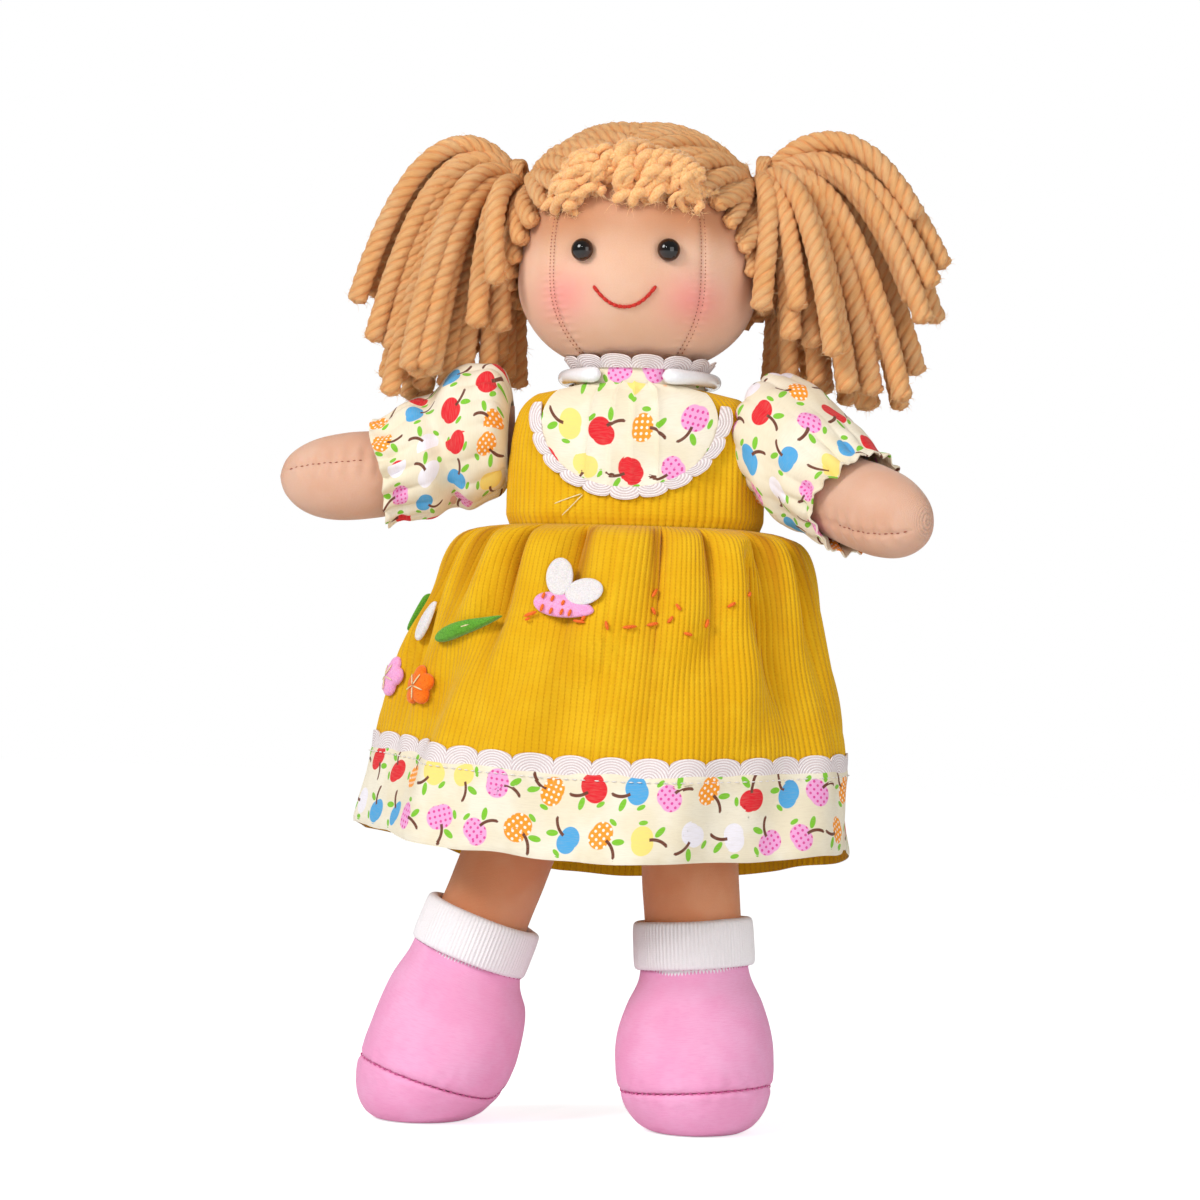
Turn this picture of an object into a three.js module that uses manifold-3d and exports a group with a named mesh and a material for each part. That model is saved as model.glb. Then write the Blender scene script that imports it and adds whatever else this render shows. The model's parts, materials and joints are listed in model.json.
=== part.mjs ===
// A stuffed rag doll with wool hair, a corduroy dress and cloth feet, standing on its soles.
// Millimetres, +Z up. The doll faces -Y, so its own left is +X.
// The origin is on the floor, at the middle of the whole doll's bounding box.
import * as THREE from "three";
import Module from "manifold-3d";

const wasm = await Module();
wasm.setup();

// Driving sizes
const GAP = 0.4; // clearance between pieces that touch
const OVERRUN = 2; // how far a cutting solid runs past what it cuts
const HEAD = {
  halfWidth: 41, halfDepth: 38, crown: 47, jaw: 32, roundness: 2.2, planRoundness: 2.15, tilt: 1, lean: 1,
};
const NECK = { radius: 19, height: 5.8, ballDepth: 5, play: 1.4 };
const TORSO = {
  halfWidth: 42, halfDepth: 27, above: 51, below: 48, squareness: 5.5, planRoundness: 2.6, waistHeight: 198,
};
const CLOTH = { corduroy: 1.5, print: 0.9, lace: 1.1, felt: 1.2 };
const SKIRT = {
  ease: 0.1, hemHalfWidth: 84, hemHalfDepth: 61, waistRise: 5, length: 111, sideLift: 7, backDrop: 9,
  sway: 6, sideDrop: 1.6, foldDepth: 4.2, foldStartShare: 0.04, foldFadeShare: 0.5, wave: 1.6, waves: 7,
  waveTurn: 0.6, band: 27.4, trim: 5.2, scallopShare: 0.38,
};
const BIB = { halfWidth: 31, length: 29, laceWidth: 4.6, topMargin: 2.5, sideShare: 0.015, scallopShare: 0.4 };
const COLLAR = { height: 6.3, clearance: 2.6, frillWidth: 6.5, frillRise: 4.5, scallopShare: 0.3 };
const CLIP = { thickness: 5.2, opening: 24 };
const ARM = {
  length: 81, halfHeight: 15.5, halfDepth: 13.5, sag: 4, rootRadius: 1.6, shoulderDrop: 18, holeShare: 0.75,
};
const SLEEVE = { length: 42, halfHeight: 24, halfDepth: 21, cuff: 18, puff: 7 };
const LEG = { halfWidth: 16.5, rootRadius: 1.6, hipSpacing: 37 };
const SOCK = { height: 14.5, tuck: 1.6, wall: 1.1, foldGap: 0.6 };
const SHOE = { ankleHeight: 56, halfWidth: 26.8, halfDepth: 31, toeReach: 7, seamHeight: 13.5, panel: 1.1,
  leanShare: 0.65 };
const EYE = { radius: 3.9, dome: 3.3, shankRadius: 1.5, shankLength: 10, washerRadius: 6, washerThickness: 1.5,
  washerDepth: 6, spacing: 29, height: 6.2 };
const MOUTH = { halfWidth: 10.4, drop: 6.7, height: -6, thread: 1.2 };
const HAIR = { thickness: 5, hairline: 6, lineSlope: 0.8, napeHeight: -26 };
const YARN = { radius: 4.1, rootRadius: 2.6, bunchRadius: 6.4, tieThickness: 2.8, standOff: 5.2, back: 6,
  endShare: 0.6 };
const FRINGE = { halfWidth: 24, height: 37, length: 22, radius: 4.8, sideDrop: 6 };
const PLACKET = { width: 11, tapeWidth: 7, tape: 0.8, bottomMargin: 4, topMargin: 8 };
const STITCH = { thread: 1.1, steps: 28 };

// The pose of each side in the photograph. In degrees: each arm forward and down from straight out, and each
// leg out from straight down. In millimetres: how each bunch hangs from its tie.
const LEFT = {
  name: "left", side: 1, armSwing: 40, armDrop: 18, legSpread: 4.5,
  tieHeight: 35, bunchOut: 64, bunchDrop: 73, bunchArch: 32,
};
const RIGHT = {
  name: "right", side: -1, armSwing: 2, armDrop: 9.5, legSpread: 20,
  tieHeight: 34, bunchOut: 54, bunchDrop: 67, bunchArch: 40,
};
const SIDES = [LEFT, RIGHT];

// Places that follow from those sizes
const torsoTop = TORSO.waistHeight + TORSO.above;
const torsoBottom = TORSO.waistHeight - TORSO.below;
const neckPivot = new THREE.Vector3(0, 0, torsoTop + OVERRUN);
const headCentre = new THREE.Vector3(-HEAD.lean, 0, neckPivot.z + NECK.height - GAP + HEAD.jaw);
const skirtWaist = TORSO.waistHeight + SKIRT.waistRise;
const shoulderHeight = torsoTop - ARM.shoulderDrop;
const hipHeight = torsoBottom - GAP - LEG.rootRadius;
const collarRadius = NECK.radius + COLLAR.clearance;

const radians = THREE.MathUtils.degToRad;
const point = (x, y, z) => new THREE.Vector3(x, y, z);
const X_AXIS = point(1, 0, 0);
const Y_AXIS = point(0, 1, 0);
const Z_AXIS = point(0, 0, 1);
const signedPower = (value, exponent) => Math.sign(value) * Math.abs(value) ** exponent;
// A scalloped edge's width, where dip is the share of it that is lost between two scallops
const scallop = (dip, step, perScallop) => 1 - dip + dip * Math.sin((Math.PI * (step % perScallop)) / perScallop);
const POLE_SHARE = 0.985; // how far up to its pole a bag's rings run

// Solids from points and triangles, joined and cut

function solidOf(points, triangles) {
  const corners = new Float32Array(points.flatMap((p) => [p.x, p.y, p.z]));
  const build = (faces) => new wasm.Manifold(new wasm.Mesh({
    numProp: 3, vertProperties: corners, triVerts: new Uint32Array(faces.flat()),
  }));
  const made = build(triangles);
  return made.volume() > 0 ? made : build(triangles.map(([a, b, c]) => [a, c, b]));
}

function geometryOf(solid) {
  const mesh = solid.getMesh();
  const geometry = new THREE.BufferGeometry();
  geometry.setAttribute("position", new THREE.BufferAttribute(new Float32Array(mesh.vertProperties), 3));
  geometry.setIndex(new THREE.BufferAttribute(new Uint32Array(mesh.triVerts), 1));
  const loose = geometry.toNonIndexed();
  loose.computeVertexNormals();
  return loose;
}

function solidOfGeometry(geometry, matrix = new THREE.Matrix4()) {
  const source = geometry.index ? geometry.toNonIndexed() : geometry;
  const position = source.getAttribute("position");
  const found = new Map();
  const points = [];
  const numbers = [];
  for (let i = 0; i < position.count; i += 1) {
    const corner = new THREE.Vector3().fromBufferAttribute(position, i);
    const key = corner.toArray().map((value) => Math.round(value * 1e4)).join();
    if (!found.has(key)) {
      found.set(key, points.length);
      points.push(corner.applyMatrix4(matrix));
    }
    numbers.push(found.get(key));
  }
  const triangles = [];
  for (let i = 0; i < numbers.length; i += 3) {
    const [a, b, c] = numbers.slice(i, i + 3);
    if (a !== b && b !== c && a !== c) triangles.push([a, b, c]);
  }
  return solidOf(points, triangles);
}

const join = (solids) => solids.reduce((whole, next) => whole.add(next));
const cut = (solid, ...cutters) => cutters.reduce((left, cutter) => left.subtract(cutter), solid);
// Cutting a thin sheet can leave crumbs beside the piece itself
const mainBody = (solid) => solid.decompose().reduce((a, b) => (b.volume() > a.volume() ? b : a));

// A closed skin over rings of points, with a fan at each end
function loft(rings) {
  const sides = rings[0].length;
  const middle = (ring) => ring.reduce((sum, p) => sum.add(p), point(0, 0, 0)).divideScalar(sides);
  const points = [...rings.flat(), middle(rings[0]), middle(rings.at(-1))];
  const [start, end] = [points.length - 2, points.length - 1];
  const last = (rings.length - 1) * sides;
  const triangles = [];
  for (let j = 0; j < sides; j += 1) {
    const next = (j + 1) % sides;
    triangles.push([start, next, j], [end, last + j, last + next]);
    for (let i = 0; i < last; i += sides) {
      triangles.push([i + j, i + next, i + sides + next], [i + j, i + sides + next, i + sides + j]);
    }
  }
  return solidOf(points, triangles);
}

// A tube along a path, with its own half width and half height at each point. Its rings stand square to
// the path, or face(along, i) says which way each one faces.
function tube(path, halves, upHint, sides, face = (along) => along) {
  const rings = path.map((centre, i) => {
    const step = path[Math.min(i + 1, path.length - 1)].clone().sub(path[Math.max(i - 1, 0)]).normalize();
    const along = face(step, i).normalize();
    const wide = upHint.clone().cross(along).normalize();
    const tall = along.clone().cross(wide);
    return Array.from({ length: sides }, (_, j) => {
      const angle = (2 * Math.PI * j) / sides;
      return centre.clone()
        .addScaledVector(wide, Math.cos(angle) * halves[i][0])
        .addScaledVector(tall, Math.sin(angle) * halves[i][1]);
    });
  });
  return loft(rings);
}

// A stuffed bag: a rounded box whose ends and plan are superellipses
function bag({ centre, halfWidth, halfDepth, above, below, squareness, plan }, sides, steps, grow = 0) {
  const rings = [];
  for (let i = -steps; i <= steps; i += 1) {
    const lift = (((i / steps) * Math.PI) / 2) * POLE_SHARE;
    const share = Math.abs(Math.cos(lift)) ** (2 / squareness);
    const height = signedPower(Math.sin(lift), 2 / squareness) * ((i < 0 ? below : above) + grow);
    rings.push(Array.from({ length: sides }, (_, j) => {
      const angle = (2 * Math.PI * j) / sides;
      return centre.clone().add(point(
        signedPower(Math.cos(angle), 2 / plan) * (halfWidth + grow) * share,
        signedPower(Math.sin(angle), 2 / plan) * (halfDepth + grow) * share,
        height,
      ));
    }));
  }
  return loft(rings);
}

// The same bag's front or back surface over a place (x, z) measured from its centre
function bagSurface({ centre, halfWidth, halfDepth, above, below, squareness, plan }, x, z, grow, front = true) {
  const lift = Math.min(Math.abs(z) / ((z < 0 ? below : above) + grow), 1);
  const share = (1 - lift ** squareness) ** (1 / squareness);
  const across = Math.min(Math.abs(x) / ((halfWidth + grow) * share), 1);
  const depth = (halfDepth + grow) * share * (1 - across ** plan) ** (1 / plan);
  return centre.clone().add(point(x, front ? -depth : depth, z));
}

// A thin sheet on a surface: every corner is place(s, t, grow) at both faces of the sheet.
// rows are lists of [s, t], and closed sheets join their first and last rows.
function sheet(rows, place, inner, outer, closed = false) {
  const across = rows[0].length;
  const count = rows.length;
  const points = [inner, outer].flatMap((grow) => rows.flatMap((row) => row.map(([s, t]) => place(s, t, grow))));
  const at = (face, i, j) => face * count * across + (i % count) * across + j;
  const triangles = [];
  const quad = (a, b, c, d) => triangles.push([a, b, c], [a, c, d]);
  for (let i = 0; i < (closed ? count : count - 1); i += 1) {
    for (let j = 0; j < across - 1; j += 1) {
      quad(at(1, i, j), at(1, i + 1, j), at(1, i + 1, j + 1), at(1, i, j + 1));
      quad(at(0, i, j), at(0, i, j + 1), at(0, i + 1, j + 1), at(0, i + 1, j));
    }
    quad(at(0, i, 0), at(0, i + 1, 0), at(1, i + 1, 0), at(1, i, 0));
    quad(at(1, i, across - 1), at(1, i + 1, across - 1), at(0, i + 1, across - 1), at(0, i, across - 1));
  }
  if (!closed) {
    for (let j = 0; j < across - 1; j += 1) {
      quad(at(0, 0, j), at(1, 0, j), at(1, 0, j + 1), at(0, 0, j + 1));
      quad(at(1, count - 1, j), at(0, count - 1, j), at(0, count - 1, j + 1), at(1, count - 1, j + 1));
    }
  }
  return solidOf(points, triangles);
}

// A flat shape laid on a surface: radius(angle) is its outline round its middle
function patch(radius, place, inner, outer, sides, turn = 0) {
  const corners = [[0, 0]];
  const ringShares = [0.5, 1];
  for (const share of ringShares) {
    for (let j = 0; j < sides; j += 1) {
      const angle = (2 * Math.PI * j) / sides;
      const reach = radius(angle) * share;
      corners.push([reach * Math.cos(angle + turn), reach * Math.sin(angle + turn)]);
    }
  }
  const points = [inner, outer].flatMap((grow) => corners.map(([s, t]) => place(s, t, grow)));
  const top = corners.length;
  const triangles = [];
  for (let j = 0; j < sides; j += 1) {
    const [a, b] = [1 + j, 1 + ((j + 1) % sides)];
    const [c, d] = [a + sides, b + sides];
    triangles.push([0, b, a], [a, b, d], [a, d, c]);
    triangles.push([top, top + a, top + b], [top + a, top + d, top + b], [top + a, top + c, top + d]);
    triangles.push([c, d, top + d], [c, top + d, top + c]);
  }
  return solidOf(points, triangles);
}

const box = (width, depth, height, centre) => solidOfGeometry(
  new THREE.BoxGeometry(width, depth, height),
  new THREE.Matrix4().makeTranslation(centre),
);
const standing = (geometry) => geometry.rotateX(Math.PI / 2); // a lathe or cylinder along Y turned to Z
const lathe = (outline, sides) => standing(
  new THREE.LatheGeometry(outline.map(([r, h]) => new THREE.Vector2(r, h)), sides),
);
const facing = (direction, centre) => new THREE.Matrix4().compose(
  centre,
  new THREE.Quaternion().setFromUnitVectors(Z_AXIS, direction.clone().normalize()),
  point(1, 1, 1),
);

// Body, neck and head

const torsoBag = {
  centre: point(0, 0, TORSO.waistHeight), halfWidth: TORSO.halfWidth, halfDepth: TORSO.halfDepth,
  above: TORSO.above, below: TORSO.below, squareness: TORSO.squareness, plan: TORSO.planRoundness,
};
const headBag = {
  centre: headCentre, halfWidth: HEAD.halfWidth, halfDepth: HEAD.halfDepth,
  above: HEAD.crown, below: HEAD.jaw, squareness: HEAD.roundness, plan: HEAD.planRoundness,
};
const torsoSolid = (grow) => bag(torsoBag, 24, 6, grow);
const headSolid = (grow) => bag(headBag, 24, 7, grow);

function neck() {
  const top = neckPivot.z + NECK.height;
  const outlineShares = [[0.45, 0], [0.8, 0.25], [1, 0.7]];
  const foot = neckPivot.z - NECK.ballDepth;
  const outline = [
    [0, foot],
    ...outlineShares.map(([across, up]) => [NECK.radius * across, foot + NECK.ballDepth * up]),
    [NECK.radius, top - 2 * GAP],
    [0, top - 2 * GAP],
  ];
  return solidOfGeometry(lathe(outline, 24));
}

// The hollow in the body's top that the neck rocks in
const neckSeat = () => solidOfGeometry(
  standing(new THREE.CylinderGeometry(NECK.radius + OVERRUN, NECK.radius + OVERRUN, 4 * NECK.ballDepth, 24)),
  new THREE.Matrix4().makeTranslation(0, 0, neckPivot.z - NECK.ballDepth - NECK.play + 2 * NECK.ballDepth),
);

const torso = () => cut(torsoSolid(0), neckSeat());

// Dress top: the cloth over the body, with a neck hole, two armholes and a slit down the back
function bodice() {
  const outer = torsoSolid(GAP + CLOTH.corduroy);
  const height = 2 * TORSO.above;
  const below = box(4 * TORSO.halfWidth, 4 * TORSO.halfDepth, height, point(0, 0, skirtWaist + GAP - height / 2));
  const neckHoleRadius = collarRadius + CLOTH.print + GAP;
  const neckHole = solidOfGeometry(
    standing(new THREE.CylinderGeometry(neckHoleRadius, neckHoleRadius, TORSO.above, 32)),
    new THREE.Matrix4().makeTranslation(0, 0, torsoTop),
  );
  const armholes = SIDES.map(({ side }) => solidOfGeometry(
    new THREE.CylinderGeometry(1, 1, TORSO.halfWidth / 2, 12).rotateZ(Math.PI / 2)
      .scale(1, ARM.halfDepth * ARM.holeShare, ARM.halfHeight + GAP),
    new THREE.Matrix4().makeTranslation(side * (TORSO.halfWidth + CLOTH.corduroy), 0, shoulderHeight),
  ));
  const slit = box(2 * GAP, 2 * TORSO.halfDepth, height,
    point(0, TORSO.halfDepth, skirtWaist + PLACKET.bottomMargin + height / 2));
  return mainBody(cut(outer, torsoSolid(GAP), below, neckHole, ...armholes, slit));
}

const bodiceFace = GAP + CLOTH.corduroy; // how far the dress top's outside is from the body
const onBodice = (front) => (x, z, grow) => bagSurface(
  torsoBag, x, z - TORSO.waistHeight, bodiceFace + grow, front,
);

// The bib hangs from the neck as a rounded U of print, with scalloped lace along its edge
const bibTop = torsoTop - 2 * BIB.topMargin;
const bibEdge = (share) => [
  BIB.halfWidth * Math.cos(Math.PI * share),
  bibTop - BIB.length * Math.sin(Math.PI * share) ** 0.8,
];

function bib() {
  const columns = 14;
  const levels = 4;
  const rows = Array.from({ length: columns + 1 }, (_, i) => {
    const [x, low] = bibEdge(THREE.MathUtils.lerp(BIB.sideShare, 1 - BIB.sideShare, i / columns));
    return Array.from({ length: levels + 1 }, (__, j) => [
      x, bibTop + ((low - bibTop) * j) / levels - (GAP / 8) * j,
    ]);
  });
  return sheet(rows, onBodice(true), GAP, GAP + CLOTH.print);
}

function bibLace() {
  const scallops = 11;
  const perScallop = 2;
  const steps = scallops * perScallop;
  const middle = bibTop - BIB.length / 2;
  const rows = Array.from({ length: steps + 1 }, (_, i) => {
    const [x, z] = bibEdge(i / steps);
    const away = new THREE.Vector2(x, Math.min(z - middle, 0)).normalize();
    const width = BIB.laceWidth * scallop(BIB.scallopShare, i, perScallop);
    return [GAP, width + GAP].map((reach) => [x + away.x * reach, z + away.y * reach - GAP / 2]);
  });
  return sheet(rows, onBodice(true), GAP, GAP + CLOTH.lace);
}

function backStrip(width, inner, thickness) {
  const levels = 5;
  const low = skirtWaist + PLACKET.bottomMargin;
  const high = torsoTop - PLACKET.topMargin;
  const rows = Array.from({ length: levels + 1 }, (_, i) => {
    const z = low + ((high - low) * i) / levels;
    return [-0.5, 0, 0.5].map((share) => [width * share, z]);
  });
  return sheet(rows, onBodice(false), inner, inner + thickness);
}

// The collar stands round the neck, with a scalloped frill along its top and a plastic clip round it
const collarFoot = torsoTop + GAP + CLOTH.corduroy / 2;
const clipHeight = torsoTop + bodiceFace + GAP + CLIP.thickness / 2;
const collarBand = () => solidOfGeometry(lathe([
  [collarRadius, collarFoot],
  [collarRadius + CLOTH.print, collarFoot],
  [collarRadius + CLOTH.print, collarFoot + COLLAR.height],
  [collarRadius, collarFoot + COLLAR.height],
  [collarRadius, collarFoot],
], 32));

// Turns what is made upright on the neck the way that the head leans
const tiltedHead = () => new THREE.Matrix4().makeTranslation(neckPivot)
  .multiply(new THREE.Matrix4().makeRotationY(radians(-HEAD.tilt)))
  .multiply(new THREE.Matrix4().makeTranslation(neckPivot.clone().negate()));

// The frill stands up under the chin
function collarFrill() {
  const scallops = 14;
  const perScallop = 2;
  const rows = Array.from({ length: scallops * perScallop }, (_, i) => {
    const width = scallop(COLLAR.scallopShare, i, perScallop);
    return [0, width].map((reach) => [(2 * Math.PI * i) / (scallops * perScallop), reach]);
  });
  const foot = collarRadius + CLOTH.print + GAP;
  const place = (angle, reach, grow) => point(
    Math.cos(angle) * (foot + grow + reach * COLLAR.frillWidth),
    Math.sin(angle) * (foot + grow + reach * COLLAR.frillWidth),
    clipHeight + CLIP.thickness / 2 + GAP + reach * COLLAR.frillRise,
  );
  const hair = headSolid(2 * GAP + HAIR.thickness).subtract(capFront(-GAP));
  const headForm = headSolid(GAP).add(hair).transform(tiltedHead().elements);
  return mainBody(sheet(rows, place, 0, CLOTH.lace, true).subtract(headForm));
}

function neckClip() {
  const ringRadius = collarRadius + CLOTH.print + GAP + CLIP.thickness / 2;
  const steps = 20;
  const from = radians(-90 + CLIP.opening);
  const turn = radians(360 - 2 * CLIP.opening);
  const endShares = [0.35, 0.8];
  const path = Array.from({ length: steps + 1 }, (_, i) => {
    const angle = from + (turn * i) / steps;
    return point(Math.cos(angle) * ringRadius, Math.sin(angle) * ringRadius, clipHeight);
  });
  const halves = path.map((_, i) => {
    const share = endShares[Math.min(i, steps - i)] ?? 1;
    return [share * CLIP.thickness / 2, share * CLIP.thickness / 2];
  });
  return tube(path, halves, Z_AXIS, 8);
}

// Skirt: a gathered bell from the waist to the hem. An angle of zero is the doll's left side.
const FOLDS = 18;
const skirtSides = 2 * FOLDS;
const zigzag = (turns) => 4 * Math.abs(turns - Math.floor(turns + 0.5)) - 1;

function onSkirt(angle, down, grow) {
  const flare = Math.sqrt(Math.max(down, 0));
  const gather = SKIRT.foldDepth * (1 - Math.exp(-down / SKIRT.foldStartShare))
    * Math.exp(-down / SKIRT.foldFadeShare);
  const drape = SKIRT.wave * down * Math.cos(SKIRT.waves * angle + SKIRT.waveTurn);
  const reach = grow + gather * zigzag((FOLDS * angle) / (2 * Math.PI)) + drape;
  const waistGap = GAP + CLOTH.corduroy + GAP + CLOTH.corduroy + SKIRT.ease;
  const halfAt = (waist, hem) => waist + waistGap + (hem - waist - waistGap) * flare + reach;
  const plan = torsoBag.plan + (2 - torsoBag.plan) * flare;
  const length = SKIRT.length - SKIRT.sideLift * Math.cos(angle) ** 2
    + SKIRT.backDrop * Math.max(Math.sin(angle), 0) + SKIRT.sideDrop * Math.cos(angle);
  return point(
    halfAt(TORSO.halfWidth, SKIRT.hemHalfWidth) * signedPower(Math.cos(angle), 2 / plan) - SKIRT.sway * down,
    halfAt(TORSO.halfDepth, SKIRT.hemHalfDepth) * signedPower(Math.sin(angle), 2 / plan),
    skirtWaist - length * down,
  );
}

const skirtDrop = SKIRT.length - SKIRT.sideLift / 2;
const bandTop = 1 - SKIRT.band / skirtDrop;
const skirtRing = (sides, levelsAt) => Array.from({ length: sides }, (_, i) => {
  const angle = (2 * Math.PI * i) / sides;
  return levelsAt(i).map((down) => [angle, down]);
});
const skirtLevelShares = [0, 0.02, 0.08, 0.22, 0.45, bandTop, 1];
const skirtForm = (inner, outer) => sheet(
  skirtRing(skirtSides, () => skirtLevelShares), onSkirt, inner, outer, true,
);
const skirt = () => skirtForm(-CLOTH.corduroy, 0);
const bandLift = GAP + CLOTH.print;
const hemBand = () => sheet(
  skirtRing(skirtSides, () => [bandTop, 1]), onSkirt, GAP, bandLift, true,
);

function hemLace() {
  const scallops = 36;
  const perScallop = 2;
  const low = bandTop - GAP / skirtDrop;
  return sheet(skirtRing(scallops * perScallop, (i) => {
    const width = SKIRT.trim * scallop(SKIRT.scallopShare, i, perScallop);
    return [low - width / skirtDrop, low];
  }), onSkirt, GAP, GAP + CLOTH.lace, true);
}

// Felt pieces and stitches on the skirt: s runs round it and t up it, from a place a drop below the waist
function skirtPlace({ round, drop }) {
  const angle = radians(round);
  const down = drop / skirtDrop;
  const here = onSkirt(angle, down, 0);
  const sizeRound = onSkirt(angle + 0.01, down, 0).distanceTo(here) / 0.01;
  return (s, t, grow) => onSkirt(angle + s / sizeRound, down - t / skirtDrop, grow);
}

const oval = (long, wide) => (angle) => (long * wide) / Math.hypot(wide * Math.cos(angle), long * Math.sin(angle));
const PETALS = { count: 5, dipShare: 0.2 };
const flower = (size) => (angle) => size * (1 - PETALS.dipShare * (1 - Math.cos(PETALS.count * angle)));
const FELT = {
  beeLength: 21, beeWidth: 8.4, wingLength: 13, wingWidth: 9, flower: 7, leafLength: 24, leafWidth: 6, lift: 1.5,
};

// Where the middle of each felt piece lies: degrees round the skirt, how far below its waist, and its turn
const PLACES = {
  bee: { round: -101, drop: 28, turn: -9 },
  leafLong: { round: -132, drop: 36, turn: 18 },
  leafShort: { round: -170, drop: 31, turn: 86 },
  petalWhite: { round: -157, drop: 34, turn: 80 },
  flowerOrange: { round: -149, drop: 56, turn: 90 },
  flowerPink: { round: -168, drop: 53, turn: 70 },
};

function feltPiece(outline, where) {
  const felt = patch(outline, skirtPlace(where), 0, FELT.lift + CLOTH.felt, 12, radians(where.turn));
  return mainBody(felt.subtract(skirtForm(-CLOTH.corduroy, GAP)));
}

const beeBody = () => feltPiece(oval(FELT.beeLength / 2, FELT.beeWidth / 2), PLACES.bee);
// How far each wing's middle is round and up from the bee's, as shares of its length, and its turn in degrees
const wingShares = [[-0.19, 0.74, 105], [0.5, 0.44, 24]];
const beeWings = () => join(wingShares.map(([across, up, turn]) => {
  const place = skirtPlace(PLACES.bee);
  const inner = FELT.lift + CLOTH.felt + GAP;
  const moved = (s, t, grow) => place(s + across * FELT.wingLength, t + up * FELT.wingLength, grow);
  return patch(oval(FELT.wingLength / 2, FELT.wingWidth / 2), moved, inner, inner + CLOTH.felt, 12, radians(turn));
}));

// Points along the thread, as shares of the bee's length round and up, with the crossing lifted over itself
const flightShares = [
  [0.55, -0.33, 0.6], [0.9, -0.45, 0.6], [1.25, -0.36, 0.6], [1.42, -0.07, 0.6], [1.28, 0.1, 0.6],
  [1.12, -0.02, 0.6], [1.2, -0.3, 1.8], [1.45, -0.5, 0.6], [1.8, -0.5, 0.6], [2.1, -0.3, 0.6], [2.45, 0, 0.6],
  [2.85, 0.18, 0.6],
];

// One thread runs from the bee in a loop and away, as the bee's flight path
function flightThread() {
  const place = skirtPlace(PLACES.bee);
  const curve = new THREE.CatmullRomCurve3(flightShares.map(([across, up, lift]) => point(
    across * FELT.beeLength, up * FELT.beeLength, FELT.lift + lift * STITCH.thread,
  )));
  const path = curve.getPoints(STITCH.steps).map(({ x, y, z }) => place(x, y, z));
  const half = STITCH.thread / 2;
  return tube(path, path.map(() => [half, half]), Y_AXIS, 5);
}

// Arms: flat where they are sewn to the body, round along the forearm and closed to a mitten

const shoulderAt = (side) => point(side * (TORSO.halfWidth + ARM.rootRadius), 0, shoulderHeight);

// The arm's middle line sags between its ends, so a path that stops short of the hand follows its first part
function armPath({ side, armSwing, armDrop }, shares, reach) {
  const forward = radians(armSwing);
  const drop = radians(armDrop);
  const level = Math.cos(drop);
  const along = point(side * Math.cos(forward) * level, -Math.sin(forward) * level, -Math.sin(drop));
  return shares.map((share) => {
    const armShare = (reach / ARM.length) * share;
    return shoulderAt(side)
      .addScaledVector(along, reach * share)
      .addScaledVector(Z_AXIS, -4 * ARM.sag * Math.max(armShare, 0) * (1 - armShare));
  });
}

// The seams are upright, so every ring stands upright too
const upright = (along) => point(along.x, along.y, 0);

const armShares = [[-0.018, 0.03, 0.8], [0, 0.08, 0.86], [0.11, 0.26, 0.95], [0.19, 0.52, 0.99], [0.28, 0.85, 1],
  [0.38, 1, 1], [0.6, 1.02, 1.05], [0.72, 1, 1.05], [0.83, 0.84, 0.91], [0.92, 0.58, 0.64], [0.975, 0.3, 0.34],
  [1, 0.06, 0.06]];

function arm(where, grow = 0) {
  const path = armPath(where, armShares.map(([share]) => share), ARM.length);
  const halves = armShares.map(([, depth, height]) => [
    ARM.halfDepth * depth + grow, ARM.halfHeight * height + grow,
  ]);
  return tube(path, halves, Z_AXIS, 14, upright);
}

// Along the sleeve: share of its length, of its half depth and of its half height
const sleeveShares = [[0, 0.45, 0.6], [0.07, 0.82, 0.86], [0.18, 0.97, 0.98], [0.36, 1, 1], [0.6, 0.93, 0.92],
  [0.82, 0.84, 0.84]];
const hollowEndShare = 0.1; // how far the sleeve's hollow runs past each of its ends

function sleeve(where) {
  const stations = [...sleeveShares.map(([share]) => share), 1];
  const puffed = (shares) => armPath(where, shares, SLEEVE.length).map((centre, i) => centre
    .addScaledVector(Z_AXIS, SLEEVE.puff * Math.sin(Math.PI * Math.sqrt(THREE.MathUtils.clamp(shares[i], 0, 1)))));
  const path = puffed(stations);
  const outer = [...sleeveShares.map(([, depth, height]) => [SLEEVE.halfDepth * depth, SLEEVE.halfHeight * height]),
    [SLEEVE.cuff, SLEEVE.cuff]];
  const inner = outer.map(([depth, height]) => [depth - CLOTH.print, height - CLOTH.print]);
  const ends = puffed([-hollowEndShare, ...stations, 1 + hollowEndShare]);
  const hollow = tube(ends, [inner[0], ...inner, inner.at(-1)], Z_AXIS, 14, upright);
  const whole = tube(path, outer, Z_AXIS, 14, upright);
  return mainBody(cut(whole, hollow, torsoSolid(bodiceFace + CLOTH.lace + 2 * GAP), arm(where, GAP)));
}

// Legs: flat at the hip seam, round below it, and cut square at the ankle where the foot is sewn on

const ankleOf = ({ side, legSpread }) => point(
  side * (LEG.hipSpacing / 2 + (hipHeight - SHOE.ankleHeight) * Math.tan(radians(legSpread))), 0, SHOE.ankleHeight,
);
const hipOf = (side) => point((side * LEG.hipSpacing) / 2, 0, hipHeight);
const legShares = [[-0.017, 0.85, 0.03], [0, 0.9, 0.1], [0.1, 0.95, 0.13], [0.2, 0.99, 0.24], [0.3, 1, 0.55],
  [0.42, 1, 0.95], [0.55, 1, 1], [1, 1, 1]];

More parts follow.
